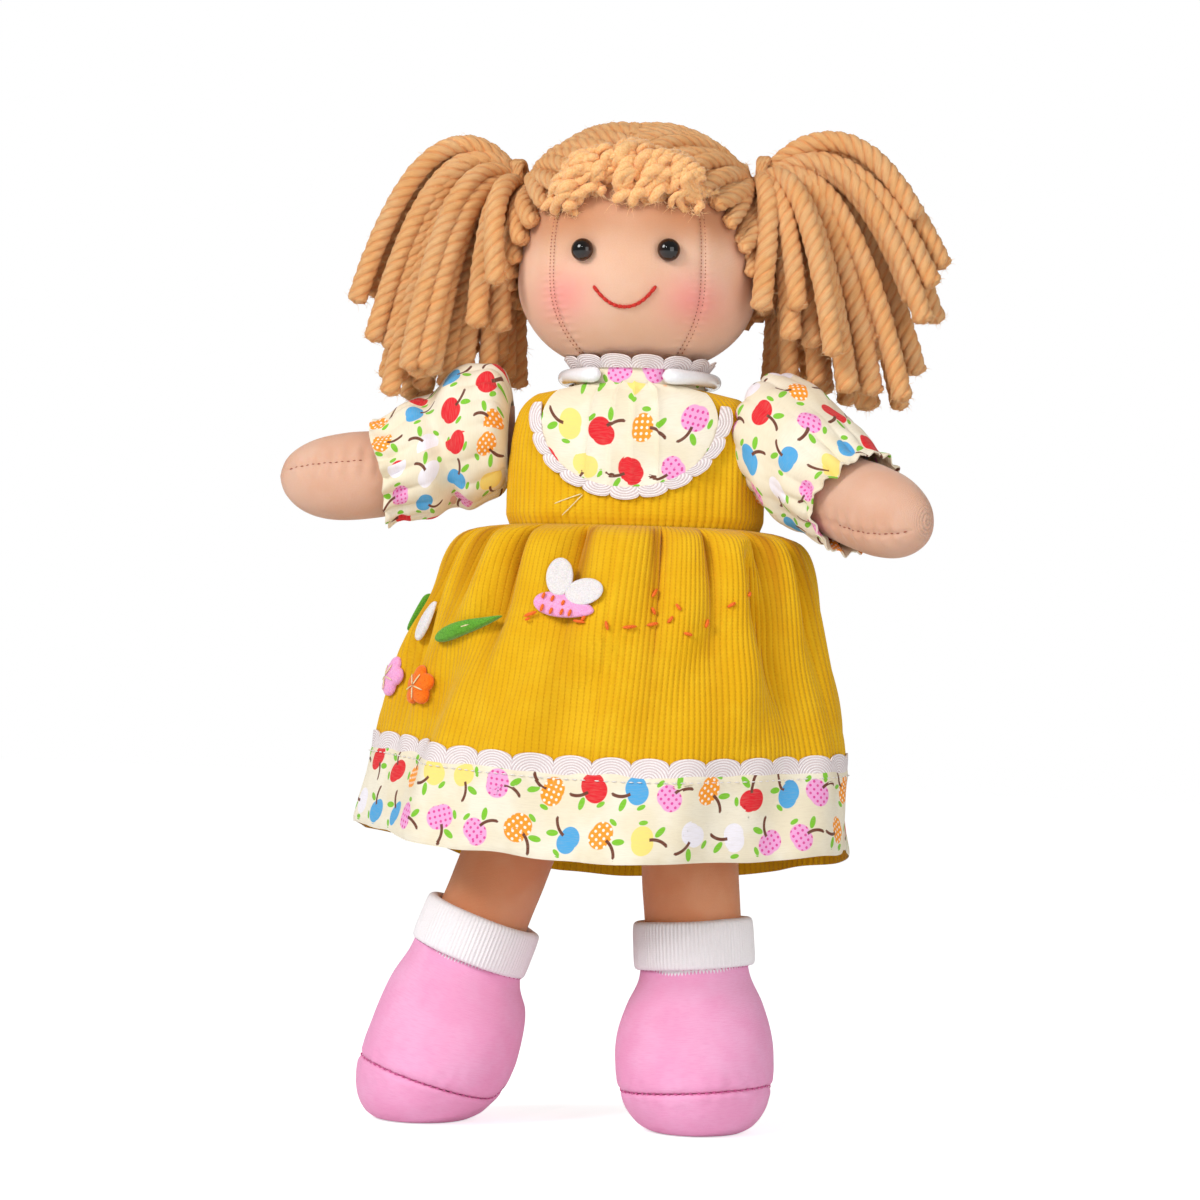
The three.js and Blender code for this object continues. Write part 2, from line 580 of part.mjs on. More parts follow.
function leg(where) {
  const [hip, ankle] = [hipOf(where.side), ankleOf(where).addScaledVector(Z_AXIS, GAP)];
  const path = legShares.map(([share]) => hip.clone().lerp(ankle, share));
  const halves = legShares.map(([, width, depth]) => [LEG.halfWidth * width, LEG.halfWidth * depth]);
  return tube(path, halves, Y_AXIS, 16, () => Z_AXIS.clone());
}

// The sock is a tube of ribbed knit with its top turned down over itself
function sock(where) {
  const inner = LEG.halfWidth + GAP;
  const middle = inner + SOCK.wall;
  const outer = middle + SOCK.foldGap;
  const outline = [
    [inner, -SOCK.tuck], [middle, -SOCK.tuck], [middle, SOCK.height - SOCK.wall], [outer, SOCK.height - SOCK.wall],
    [outer, 0], [outer + SOCK.wall, 0], [outer + SOCK.wall, SOCK.height - SOCK.wall], [outer, SOCK.height],
    [inner, SOCK.height], [inner, -SOCK.tuck],
  ];
  const ankle = ankleOf(where);
  const up = hipOf(where.side).sub(ankle).normalize();
  return cut(
    solidOfGeometry(lathe(outline, 18), facing(up, ankle.clone().addScaledVector(up, SOCK.tuck + GAP))),
    shoeForm(where, GAP),
  );
}

// The foot is a stuffed bulb with a round toe, closed by a separate sole panel
const shoeShares = [
  [1, 0.67, 0.55, 0.02], [0.9, 0.72, 0.6, 0.06], [0.76, 0.86, 0.72, 0.25], [0.58, 0.97, 0.87, 0.6],
  [0.42, 1, 0.97, 0.88], [0.27, 0.97, 1, 1], [0.14, 0.88, 0.95, 1.02], [0.05, 0.74, 0.85, 1],
  [0.01, 0.6, 0.74, 0.98], [0, 0.52, 0.66, 0.97],
];

function shoeForm(where, grow) {
  const ankle = ankleOf(where);
  const lean = Math.tan(radians(where.legSpread)) * where.side * SHOE.leanShare;
  const rings = shoeShares.map(([up, width, depth, reach]) => {
    const below = (1 - up) * SHOE.ankleHeight;
    const middle = point(
      ankle.x + below * lean, -SHOE.toeReach * reach,
      SHOE.ankleHeight - below * (1 + grow / SHOE.ankleHeight) + (up === 1 ? grow : 0),
    );
    return Array.from({ length: 16 }, (_, j) => {
      const angle = (-2 * Math.PI * j) / 16;
      return middle.clone().add(point(
        Math.cos(angle) * (SHOE.halfWidth * width + grow), Math.sin(angle) * (SHOE.halfDepth * depth + grow), 0,
      ));
    });
  });
  return loft(rings);
}

const floorSlab = (top) => box(8 * TORSO.halfWidth, 8 * TORSO.halfWidth, 4 * SHOE.halfDepth,
  point(0, 0, top - 2 * SHOE.halfDepth));
const shoe = (where) => cut(shoeForm(where, 0), floorSlab(SHOE.seamHeight + GAP))
  .add(shoeForm(where, -SHOE.panel - GAP));
const sole = (where) => shoeForm(where, 0).intersect(floorSlab(SHOE.seamHeight))
  .subtract(shoeForm(where, -SHOE.panel));

// Face: plastic eyes on shanks with locking washers inside the head, and a mouth of red thread

const onFace = (x, z, grow) => bagSurface(headBag, x, z, grow);

function faceNormal(x, z) {
  const here = onFace(x, z, 0);
  const right = onFace(x + 1, z, 0).sub(here);
  const up = onFace(x, z + 1, 0).sub(here);
  return right.cross(up).normalize();
}

const eyeFrame = (side) => {
  const x = (side * EYE.spacing) / 2;
  const normal = faceNormal(x, EYE.height);
  return facing(normal, onFace(x, EYE.height, 0).addScaledVector(normal, GAP));
};

function eye(side) {
  const domeShares = [[1, 0], [0.92, 0.45], [0.7, 0.76], [0, 1]];
  const outline = [
    [0, -EYE.shankLength], [EYE.shankRadius, -EYE.shankLength], [EYE.shankRadius, 0],
    ...domeShares.map(([across, up]) => [EYE.radius * across, EYE.dome * up]),
  ];
  return solidOfGeometry(lathe(outline, 12), eyeFrame(side));
}

const ring = (inner, outer, low, high) => [[inner, low], [outer, low], [outer, high], [inner, high], [inner, low]];
const washerBack = -EYE.washerDepth - EYE.washerThickness;
const eyeWasher = (side) => solidOfGeometry(
  lathe(ring(EYE.shankRadius + GAP / 2, EYE.washerRadius, washerBack, -EYE.washerDepth), 12),
  eyeFrame(side),
);

function eyeSocket(side) {
  const bore = EYE.shankRadius + GAP / 2;
  const pocket = EYE.washerRadius + GAP;
  const low = washerBack - GAP;
  const outline = [
    [0, -EYE.shankLength - GAP], [bore, -EYE.shankLength - GAP], [bore, low], [pocket, low],
    [pocket, -EYE.washerDepth + GAP], [bore, -EYE.washerDepth + GAP], [bore, OVERRUN], [0, OVERRUN],
  ];
  return solidOfGeometry(lathe(outline, 10), eyeFrame(side));
}

const head = () => cut(headSolid(0), ...SIDES.map(({ side }) => eyeSocket(side)));

function mouth() {
  const steps = 12;
  const half = MOUTH.thread / 2;
  const path = Array.from({ length: steps + 1 }, (_, i) => {
    const share = (2 * i) / steps - 1;
    return onFace(MOUTH.halfWidth * share, MOUTH.height - MOUTH.drop * (1 - Math.abs(share) ** 2.2), GAP + half);
  });
  return tube(path, path.map(() => [half, half]), Y_AXIS, 5);
}

// Hair: a cap of wool over the crown and back, a fringe, and two bunches tied at the sides

const capReach = 4 * HEAD.halfWidth;

// Everything in front of the hairline, which leans forward towards the crown
const capFront = (grow) => solidOfGeometry(
  new THREE.BoxGeometry(capReach, capReach, capReach),
  new THREE.Matrix4().makeTranslation(headCentre.x, HAIR.hairline, headCentre.z)
    .multiply(new THREE.Matrix4().makeRotationX(Math.atan(HAIR.lineSlope)))
    .multiply(new THREE.Matrix4().makeTranslation(0, grow - capReach / 2, 0)),
);

function hairCap() {
  const underNape = box(capReach, capReach, capReach,
    point(headCentre.x, 0, headCentre.z + HAIR.napeHeight - capReach / 2));
  return mainBody(cut(headSolid(GAP + HAIR.thickness), headSolid(GAP), capFront(0), underNape));
}

// A length of wool: thin where it is bound, full along its length, with a round cut end
function strand(curve, steps, radius, rootRadius, sides) {
  const path = curve.getPoints(steps);
  const halves = path.map((_, i) => {
    const share = i / steps;
    const full = rootRadius + (radius - rootRadius) * Math.min(1, share * 3);
    const half = i === steps ? radius * YARN.endShare : full;
    return [half, half];
  });
  return tube(path, halves, Y_AXIS, sides);
}

// Where each bunch's strands end, as shares of its reach out, up and forward, with how high they arch
const bunchShares = [
  [1, -0.34, 0.1, 1], [0.96, -0.58, -0.4, 0.85], [0.9, -0.62, 0.5, 0.78], [0.85, -0.86, 0, 0.65],
  [0.78, -1.02, 0.55, 0.58], [0.74, -1.04, -0.6, 0.52], [0.58, -1.08, 0.1, 0.42], [0.46, -1.02, 0.7, 0.35],
  [0.42, -1.04, -0.75, 0.3], [0.26, -0.98, 0.2, 0.2], [0.14, -0.84, -0.85, 0.15], [0.12, -0.78, 0.85, 0.15],
];
const BUNCH = { depth: 24, bendShare: 0.5, lift: 40 };

// Along a tuft of the fringe: share of its way across, of its droop, and of its width that it stands off the face
const tuftShares = [[0.9, 0, 0.5], [1, 0.4, 2], [1.04, 1, 0.6]];
const TUFT = { count: 9, sideShare: 0.25, unevenShare: 0.12, rootShare: 0.8 };

function tiePoint({ side, tieHeight }) {
  const lift = tieHeight / (HEAD.crown + GAP + HAIR.thickness);
  const share = (1 - lift ** HEAD.roundness) ** (1 / HEAD.roundness);
  const capHalfWidth = (HEAD.halfWidth + GAP + HAIR.thickness) * share;
  return headCentre.clone().add(point(side * (capHalfWidth + GAP + YARN.standOff), YARN.back, tieHeight));
}

// The room that the cap needs beside a bunch at rest, half lifted and wholly lifted
function capRoom(where) {
  const tie = tiePoint(where);
  const cap = headSolid(2 * GAP + HAIR.thickness);
  const liftShares = [0, 0.5, 1];
  return liftShares.map((share) => cap.transform(new THREE.Matrix4().makeTranslation(tie)
    .multiply(new THREE.Matrix4().makeRotationY(radians(where.side * BUNCH.lift * share)))
    .multiply(new THREE.Matrix4().makeTranslation(tie.clone().negate())).elements));
}

function bunch(where) {
  const tie = tiePoint(where);
  const out = (x, y, z) => tie.clone().add(point(where.side * x, y, z));
  const root = tube(
    [out(-YARN.standOff, 0, 0), out(0, 0, 0), out(YARN.standOff, 0, 0)],
    [YARN.rootRadius, YARN.bunchRadius - GAP, YARN.bunchRadius].map((half) => [half, half]), Z_AXIS, 12,
  );
  const strands = bunchShares.map(([across, up, forward, arch]) => {
    const end = out(YARN.standOff + where.bunchOut * across, -BUNCH.depth * forward, where.bunchDrop * up);
    const start = out(YARN.standOff / 2, (-YARN.bunchRadius * forward) / 2, (YARN.bunchRadius * up) / 4);
    const bend = out(
      YARN.standOff + where.bunchOut * across * BUNCH.bendShare, -BUNCH.depth * forward, where.bunchArch * arch,
    );
    return strand(new THREE.QuadraticBezierCurve3(start, bend, end), 4, YARN.radius, YARN.rootRadius, 5);
  });
  return mainBody(cut(join([root, ...strands]), ...capRoom(where), hairTieForm(where, GAP / 2)));
}

function hairTieForm(where, grow) {
  const half = YARN.tieThickness / 2 + grow;
  const radius = YARN.bunchRadius - GAP + YARN.tieThickness / 2;
  const outline = Array.from({ length: 7 }, (_, i) => {
    const angle = (-2 * Math.PI * i) / 6;
    return [radius + half * Math.cos(angle), half * Math.sin(angle)];
  });
  return solidOfGeometry(lathe(outline, 14), facing(X_AXIS, tiePoint(where)));
}

function fringe() {
  const made = Array.from({ length: TUFT.count }, (_, i) => {
    const share = (2 * i) / (TUFT.count - 1) - 1;
    const droop = FRINGE.length * (1 - TUFT.sideShare * Math.abs(share) + TUFT.unevenShare * (i % 2));
    const rise = FRINGE.height - FRINGE.sideDrop * share ** 2;
    const [start, bend, end] = tuftShares.map(([across, down, off]) => onFace(
      FRINGE.halfWidth * share * across, rise - droop * down, GAP + FRINGE.radius * off,
    ));
    const curve = new THREE.QuadraticBezierCurve3(start, bend, end);
    return strand(curve, 3, FRINGE.radius, FRINGE.radius * TUFT.rootShare, 5);
  });
  return mainBody(cut(join(made), headSolid(GAP), headSolid(GAP + HAIR.thickness).subtract(capFront(-GAP))));
}

// Materials, one for each cloth, wool and plastic

const finish = (color, roughness, metalness = 0) => new THREE.MeshStandardMaterial({ color, roughness, metalness });
const skin = finish(0xe8b79a, 0.85);
const corduroy = finish(0xf2c21b, 0.9);
const print = finish(0xf3e6cf, 0.85);
const whiteLace = finish(0xf3eeee, 0.8);
const wool = finish(0xe9b173, 0.95);
const pinkCloth = finish(0xf08fc0, 0.85);
const whiteKnit = finish(0xf2eef0, 0.9);
const blackPlastic = finish(0x120c0a, 0.15);
const whitePlastic = finish(0xf2f2f5, 0.3);
const redThread = finish(0xd0301f, 0.7);
const orangeThread = finish(0xf0701a, 0.7);
const pinkFelt = finish(0xf5a6cf, 0.95);
const whiteFelt = finish(0xf6f2f2, 0.95);
const greenFelt = finish(0x5fa83a, 0.95);
const orangeFelt = finish(0xf5761c, 0.95);

// The doll: each moving piece is a group whose origin is the joint it turns on

const doll = new THREE.Group();

function bodyGroup(parent, pivot, parentPivot = point(0, 0, 0)) {
  const group = new THREE.Group();
  group.position.copy(pivot).sub(parentPivot);
  group.userData.pivot = pivot;
  parent.add(group);
  return group;
}

function addPiece(group, name, solid, material) {
  const { x, y, z } = group.userData.pivot;
  const mesh = new THREE.Mesh(geometryOf(solid.translate([-x, -y, -z])), material);
  mesh.name = name;
  group.add(mesh);
}

const body = bodyGroup(doll, point(0, 0, 0));
addPiece(body, "torso", torso(), skin);
addPiece(body, "bodice", bodice(), corduroy);
addPiece(body, "bib", bib(), print);
addPiece(body, "bib_lace", bibLace(), whiteLace);
addPiece(body, "back_fastener_tape", backStrip(PLACKET.tapeWidth, GAP, PLACKET.tape), whiteKnit);
addPiece(body, "back_placket", backStrip(PLACKET.width, 2 * GAP + PLACKET.tape, CLOTH.corduroy), corduroy);
addPiece(body, "collar_band", collarBand(), print);
addPiece(body, "collar_frill", collarFrill(), whiteLace);
addPiece(body, "neck_clip", neckClip(), whitePlastic);
addPiece(body, "skirt", skirt(), corduroy);
addPiece(body, "hem_band", hemBand(), print);
addPiece(body, "hem_lace", hemLace(), whiteLace);
addPiece(body, "bee_body", beeBody(), pinkFelt);
addPiece(body, "bee_wings", beeWings(), whiteFelt);
addPiece(body, "flight_thread", flightThread(), orangeThread);
addPiece(body, "leaf_long", feltPiece(oval(FELT.leafLength / 2, FELT.leafWidth / 2), PLACES.leafLong), greenFelt);
addPiece(body, "leaf_short", feltPiece(oval(FELT.leafWidth, FELT.leafWidth / 2), PLACES.leafShort), greenFelt);
addPiece(body, "petal_white", feltPiece(oval(FELT.leafWidth, FELT.leafWidth / 2), PLACES.petalWhite), whiteFelt);
addPiece(body, "flower_orange", feltPiece(flower(FELT.flower), PLACES.flowerOrange), orangeFelt);
addPiece(body, "flower_pink", feltPiece(flower(FELT.flower), PLACES.flowerPink), pinkFelt);

const neckGroup = bodyGroup(body, neckPivot);
addPiece(neckGroup, "neck", neck(), skin);

const headGroup = bodyGroup(neckGroup, neckPivot, neckPivot);
headGroup.rotation.y = radians(-HEAD.tilt);
addPiece(headGroup, "head", head(), skin);
addPiece(headGroup, "mouth_stitch", mouth(), redThread);
addPiece(headGroup, "hair_cap", hairCap(), wool);
addPiece(headGroup, "fringe", fringe(), wool);

for (const where of SIDES) {
  const { name, side } = where;
  addPiece(headGroup, `eye_${name}`, eye(side), blackPlastic);
  addPiece(headGroup, `eye_washer_${name}`, eyeWasher(side), whitePlastic);

  const bunchGroup = bodyGroup(headGroup, tiePoint(where), neckPivot);
  addPiece(bunchGroup, `bunch_${name}`, bunch(where), wool);
  addPiece(bunchGroup, `hair_tie_${name}`, hairTieForm(where, 0), wool);

  const armGroup = bodyGroup(body, shoulderAt(side));
  addPiece(armGroup, `arm_${name}`, arm(where), skin);
  addPiece(armGroup, `sleeve_${name}`, sleeve(where), print);

  const legGroup = bodyGroup(body, hipOf(side));
  addPiece(legGroup, `leg_${name}`, leg(where), skin);
  addPiece(legGroup, `sock_${name}`, sock(where), whiteKnit);
  addPiece(legGroup, `shoe_${name}`, shoe(where), pinkCloth);
  addPiece(legGroup, `sole_${name}`, sole(where), pinkCloth);
}

// The whole doll is moved so that its bounding box is centred over the origin and stands on the floor
const bounds = new THREE.Box3().setFromObject(doll);
const middle = bounds.getCenter(point(0, 0, 0));
body.position.set(-middle.x, -middle.y, -bounds.min.z);

export default doll;
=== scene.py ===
"""The rag doll's cloth, wool, thread and plastic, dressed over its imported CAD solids.

Places are worked out in millimetres from the middle of the doll's neck, on the floor, as the CAD solids are.
The doll faces -Y and its own left is +X.
"""

import json
import math
import random
from collections import namedtuple

import bmesh
import bpy
from mathutils import Matrix, Quaternion, Vector, noise
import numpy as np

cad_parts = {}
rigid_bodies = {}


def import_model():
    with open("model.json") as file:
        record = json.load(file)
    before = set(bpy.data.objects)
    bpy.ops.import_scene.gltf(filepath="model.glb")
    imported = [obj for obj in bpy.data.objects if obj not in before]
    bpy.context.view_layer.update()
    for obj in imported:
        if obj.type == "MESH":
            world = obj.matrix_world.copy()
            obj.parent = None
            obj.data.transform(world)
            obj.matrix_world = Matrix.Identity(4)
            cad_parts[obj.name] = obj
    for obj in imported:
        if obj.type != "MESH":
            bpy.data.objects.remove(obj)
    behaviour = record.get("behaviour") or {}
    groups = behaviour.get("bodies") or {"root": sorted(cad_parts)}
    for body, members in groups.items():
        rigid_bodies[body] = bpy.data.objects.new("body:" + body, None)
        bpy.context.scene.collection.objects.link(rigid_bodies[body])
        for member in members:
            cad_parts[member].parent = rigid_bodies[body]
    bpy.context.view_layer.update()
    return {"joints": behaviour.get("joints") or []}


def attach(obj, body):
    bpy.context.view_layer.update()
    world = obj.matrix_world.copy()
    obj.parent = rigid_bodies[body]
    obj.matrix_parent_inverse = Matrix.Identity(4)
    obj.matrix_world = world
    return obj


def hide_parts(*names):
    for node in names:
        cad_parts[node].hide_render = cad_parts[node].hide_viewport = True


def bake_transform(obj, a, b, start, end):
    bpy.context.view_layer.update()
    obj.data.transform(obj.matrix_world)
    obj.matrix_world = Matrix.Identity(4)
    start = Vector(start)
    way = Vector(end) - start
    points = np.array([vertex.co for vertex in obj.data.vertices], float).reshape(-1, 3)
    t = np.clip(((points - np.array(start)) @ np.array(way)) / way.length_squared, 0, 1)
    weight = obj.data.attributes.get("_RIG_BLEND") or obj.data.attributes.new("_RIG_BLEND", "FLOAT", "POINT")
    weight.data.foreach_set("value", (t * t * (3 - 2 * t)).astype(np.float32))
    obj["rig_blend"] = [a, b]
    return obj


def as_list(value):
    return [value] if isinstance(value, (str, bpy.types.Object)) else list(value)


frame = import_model()
scene = bpy.context.scene

MM = 0.001
TURN = 2 * math.pi
joint_places = {joint["name"]: Vector(joint["pos_m"]) / MM for joint in frame["joints"]}
neck_pivot = joint_places["neck_nod"]
DOLL_MIDDLE = Vector((neck_pivot.x, neck_pivot.y, 0))
SIDES = {"left": 1, "right": -1}

# Camera and light

CAMERA_AIM = Vector((-0.0054, 0, 0.1785))
CAMERA_DISTANCE = 1.369
CAMERA_LENS = 120
CAMERA_ROUND, CAMERA_UP, CAMERA_ROLL = 7.5, -1.5, 2


def add_camera():
    data = bpy.data.cameras.new("photo_camera")
    data.lens = CAMERA_LENS
    data.clip_start, data.clip_end = 0.01, 100
    camera = bpy.data.objects.new("photo_camera", data)
    scene.collection.objects.link(camera)
    scene.camera = camera
    round_angle, up_angle = math.radians(CAMERA_ROUND), math.radians(CAMERA_UP)
    back = Vector((
        math.sin(round_angle) * math.cos(up_angle),
        -math.cos(round_angle) * math.cos(up_angle),
        math.sin(up_angle),
    ))
    camera.location = CAMERA_AIM + back * CAMERA_DISTANCE
    camera.rotation_mode = "QUATERNION"
    roll = Quaternion((0, 0, 1), math.radians(CAMERA_ROLL))
    camera.rotation_quaternion = (-back).to_track_quat("-Z", "Y") @ roll


def add_softbox(name, place, size, watts, aim=Vector((0, 0, 0.18))):
    data = bpy.data.lights.new(name, "AREA")
    data.shape = "SQUARE"
    data.size = size
    data.energy = watts
    lamp = bpy.data.objects.new(name, data)
    scene.collection.objects.link(lamp)
    lamp.location = place
    lamp.rotation_mode = "QUATERNION"
    lamp.rotation_quaternion = (aim - Vector(place)).to_track_quat("-Z", "Y")


# Node trees

class Web:
    """One node tree, with short ways to add its nodes and join them."""

    def __init__(self, tree):
        self.tree = tree

    def feed(self, socket, value):
        if isinstance(value, bpy.types.NodeSocket):
            self.tree.links.new(value, socket)
        elif value is not None:
            socket.default_value = value

    def add(self, kind, *values, **settings):
        made = self.tree.nodes.new("ShaderNode" + kind)
        for setting, value in settings.items():
            setattr(made, setting, value)
        for socket, value in zip(made.inputs, values):
            self.feed(socket, value)
        return made

    def maths(self, operation, *values, clamp=False):
        return self.add("Math", *values, operation=operation, use_clamp=clamp).outputs[0]

    def vector(self, operation, *values):
        made = self.add("VectorMath", *values, operation=operation)
        is_number = operation in ("LENGTH", "DISTANCE", "DOT_PRODUCT")
        return made.outputs["Value" if is_number else "Vector"]

    def evenly(self, size):
        """A vector of one size each way."""
        return self.joined(size, size, size)

    def painted(self, name):
        """A share that the mesh holds for each of its corners."""
        return self.add("Attribute", attribute_name=name).outputs["Fac"]

    def stretched(self, vector, across, along, deep=1):
        return self.vector("MULTIPLY", vector, (across, along, deep))

    def parts(self, vector):
        made = self.add("SeparateXYZ", vector)
        return made.outputs[0], made.outputs[1], made.outputs[2]

    def joined(self, x, y, z=0.0):
        return self.add("CombineXYZ", x, y, z).outputs[0]

    def mixed(self, share, first, second):
        made = self.tree.nodes.new("ShaderNodeMix")
        made.data_type = "RGBA"
        self.feed(made.inputs[0], share)
        self.feed(made.inputs[6], first)
        self.feed(made.inputs[7], second)
        return made.outputs[2]

    def clouds(self, vector, scale, detail=2.0, roughness=0.5):
        made = self.add("TexNoise")
        self.feed(made.inputs["Vector"], vector)
        made.inputs["Scale"].default_value = scale
        made.inputs["Detail"].default_value = detail
        made.inputs["Roughness"].default_value = roughness
        return made.outputs[0]

    def between(self, value, low, high, start=0.0, end=1.0):
        made = self.add("MapRange", value, low, high, start, end, interpolation_type="SMOOTHSTEP")
        return made.outputs[0]

    def wave(self, value, pitch):
        """A sine from 0 to 1 that repeats each pitch."""
        turned = self.maths("SINE", self.maths("MULTIPLY", value, TURN / pitch))
        return self.maths("MULTIPLY_ADD", turned, 0.5, 0.5)

    def effect(self, group, **values):
        made = self.tree.nodes.new("ShaderNodeGroup")
        made.node_tree = group
        for label, value in values.items():
            self.feed(made.inputs[label.replace("_", " ")], value)
        return made


def dye(hexadecimal):
    """A linear colour from the sRGB one that a maker would write."""
    shares = [int(hexadecimal[i:i + 2], 16) / 255 for i in (0, 2, 4)]
    linear = [share / 12.92 if share <= 0.04045 else ((share + 0.055) / 1.055) ** 2.4 for share in shares]
    return (*linear, 1.0)


def effect_group(name, inputs, outputs):
    """A shader node group with named sockets; build it in the Web and feed its outputs by name."""
    tree = bpy.data.node_groups.new(name, "ShaderNodeTree")
    for label, (kind, value) in inputs.items():
        socket = tree.interface.new_socket(name=label, in_out="INPUT", socket_type="NodeSocket" + kind)
        if value is not None:
            socket.default_value = value
    for label, kind in outputs.items():
        tree.interface.new_socket(name=label, in_out="OUTPUT", socket_type="NodeSocket" + kind)
    web = Web(tree)
    start = tree.nodes.new("NodeGroupInput")
    end = tree.nodes.new("NodeGroupOutput")
    return tree, web, start.outputs, end.inputs


def dyed_cloud_group():
    """Cloth takes its dye a little unevenly, and dirt and light fade it in patches."""
    tree, web, given, put = effect_group(
        "uneven dye",
        {"Vector": ("Vector", None), "Colour": ("Color", (1, 1, 1, 1)), "Faded": ("Color", (1, 1, 1, 1)),
         "Patch size": ("Float", 0.02)},
        {"Colour": "Color"},
    )
    scaled = web.vector("DIVIDE", given["Vector"], web.evenly(given["Patch size"]))
    patches = web.clouds(scaled, 1.0, 3.0)
    web.feed(put["Colour"], web.mixed(web.between(patches, 0.35, 0.7), given["Colour"], given["Faded"]))
    return tree


def weave_group():
    """Plain weave: threads over and under each other, pitch metres apart."""
    tree, web, given, put = effect_group(
        "plain weave", {"Vector": ("Vector", None), "Pitch": ("Float", 0.0004)},
        {"Height": "Float", "Slub": "Float"},
    )
    across, along, _ = web.parts(given["Vector"])
    turns_across = web.maths("DIVIDE", web.maths("MULTIPLY", across, TURN), given["Pitch"])
    turns_along = web.maths("DIVIDE", web.maths("MULTIPLY", along, TURN), given["Pitch"])
    over = web.maths("MULTIPLY", web.maths("SINE", turns_across), web.maths("SINE", turns_along))
    slub = web.clouds(web.stretched(given["Vector"], 300, 2600, 1), 1.0, 2.0)
    web.feed(put["Height"], web.maths("MULTIPLY_ADD", over, 0.3, slub))
    web.feed(put["Slub"], slub)
    return tree


def knit_group():
    """Jersey: columns of V-shaped stitches, with a light nap."""
    tree, web, given, put = effect_group(
        "jersey knit", {"Vector": ("Vector", None), "Pitch": ("Float", 0.0005)},
        {"Height": "Float", "Nap": "Float"},
    )
    across, along, _ = web.parts(given["Vector"])
    column = web.maths("DIVIDE", across, given["Pitch"])
    lean = web.maths("ABSOLUTE", web.maths("SUBTRACT", web.maths("FRACT", column), 0.5))
    row = web.maths("ADD", web.maths("DIVIDE", along, given["Pitch"]), lean)
    stitch = web.maths("SINE", web.maths("MULTIPLY", row, TURN))
    ridge = web.maths("ABSOLUTE", web.maths("SINE", web.maths("MULTIPLY", column, math.pi)))
    nap = web.clouds(web.stretched(given["Vector"], 2600, 2600), 1.0, 3.0, 0.7)
    height = web.maths("MULTIPLY_ADD", stitch, 0.18, web.maths("MULTIPLY_ADD", ridge, 0.35, nap))
    web.feed(put["Height"], height)
    web.feed(put["Nap"], nap)
    return tree


def wale_group():
    """Corduroy: cut pile ribs, with painted shade in the valleys between them, dotted where the ground weave
    shows.
    """
    tree, web, given, put = effect_group(
        "corduroy wales", {"Vector": ("Vector", None), "Pitch": ("Float", 0.0022)},
        {"Height": "Float", "Valley": "Float", "Pile": "Float"},
    )
    across, along, _ = web.parts(given["Vector"])
    phase = web.maths("MULTIPLY", web.maths("DIVIDE", across, given["Pitch"]), math.pi)
    ridge = web.maths("ABSOLUTE", web.maths("SINE", phase))
    valley = web.between(ridge, 0.62, 0.1)
    rows = web.wave(along, 0.0013)
    dots = web.maths("MULTIPLY", valley, web.between(rows, 0.25, 0.8, 0.35, 1.0))
    pile = web.clouds(web.stretched(given["Vector"], 1800, 1100), 1.0, 3.0, 0.65)
    notch = web.maths("MULTIPLY", rows, 0.18)
    height = web.maths("ADD", web.maths("POWER", ridge, 0.6), web.maths("MULTIPLY_ADD", pile, 0.45, notch))
    web.feed(put["Height"], height)
    web.feed(put["Valley"], dots)
    web.feed(put["Pile"], pile)
    return tree


FRUIT_PITCH = 0.0144
FRUIT_COLOURS = ("E0222E", "4FA6DC", "F8E07C", "FB9A22", "F2A6D8", "F4EFF6")
STALK_BROWN, LEAF_GREEN = "6B3A2B", "7CC42E"


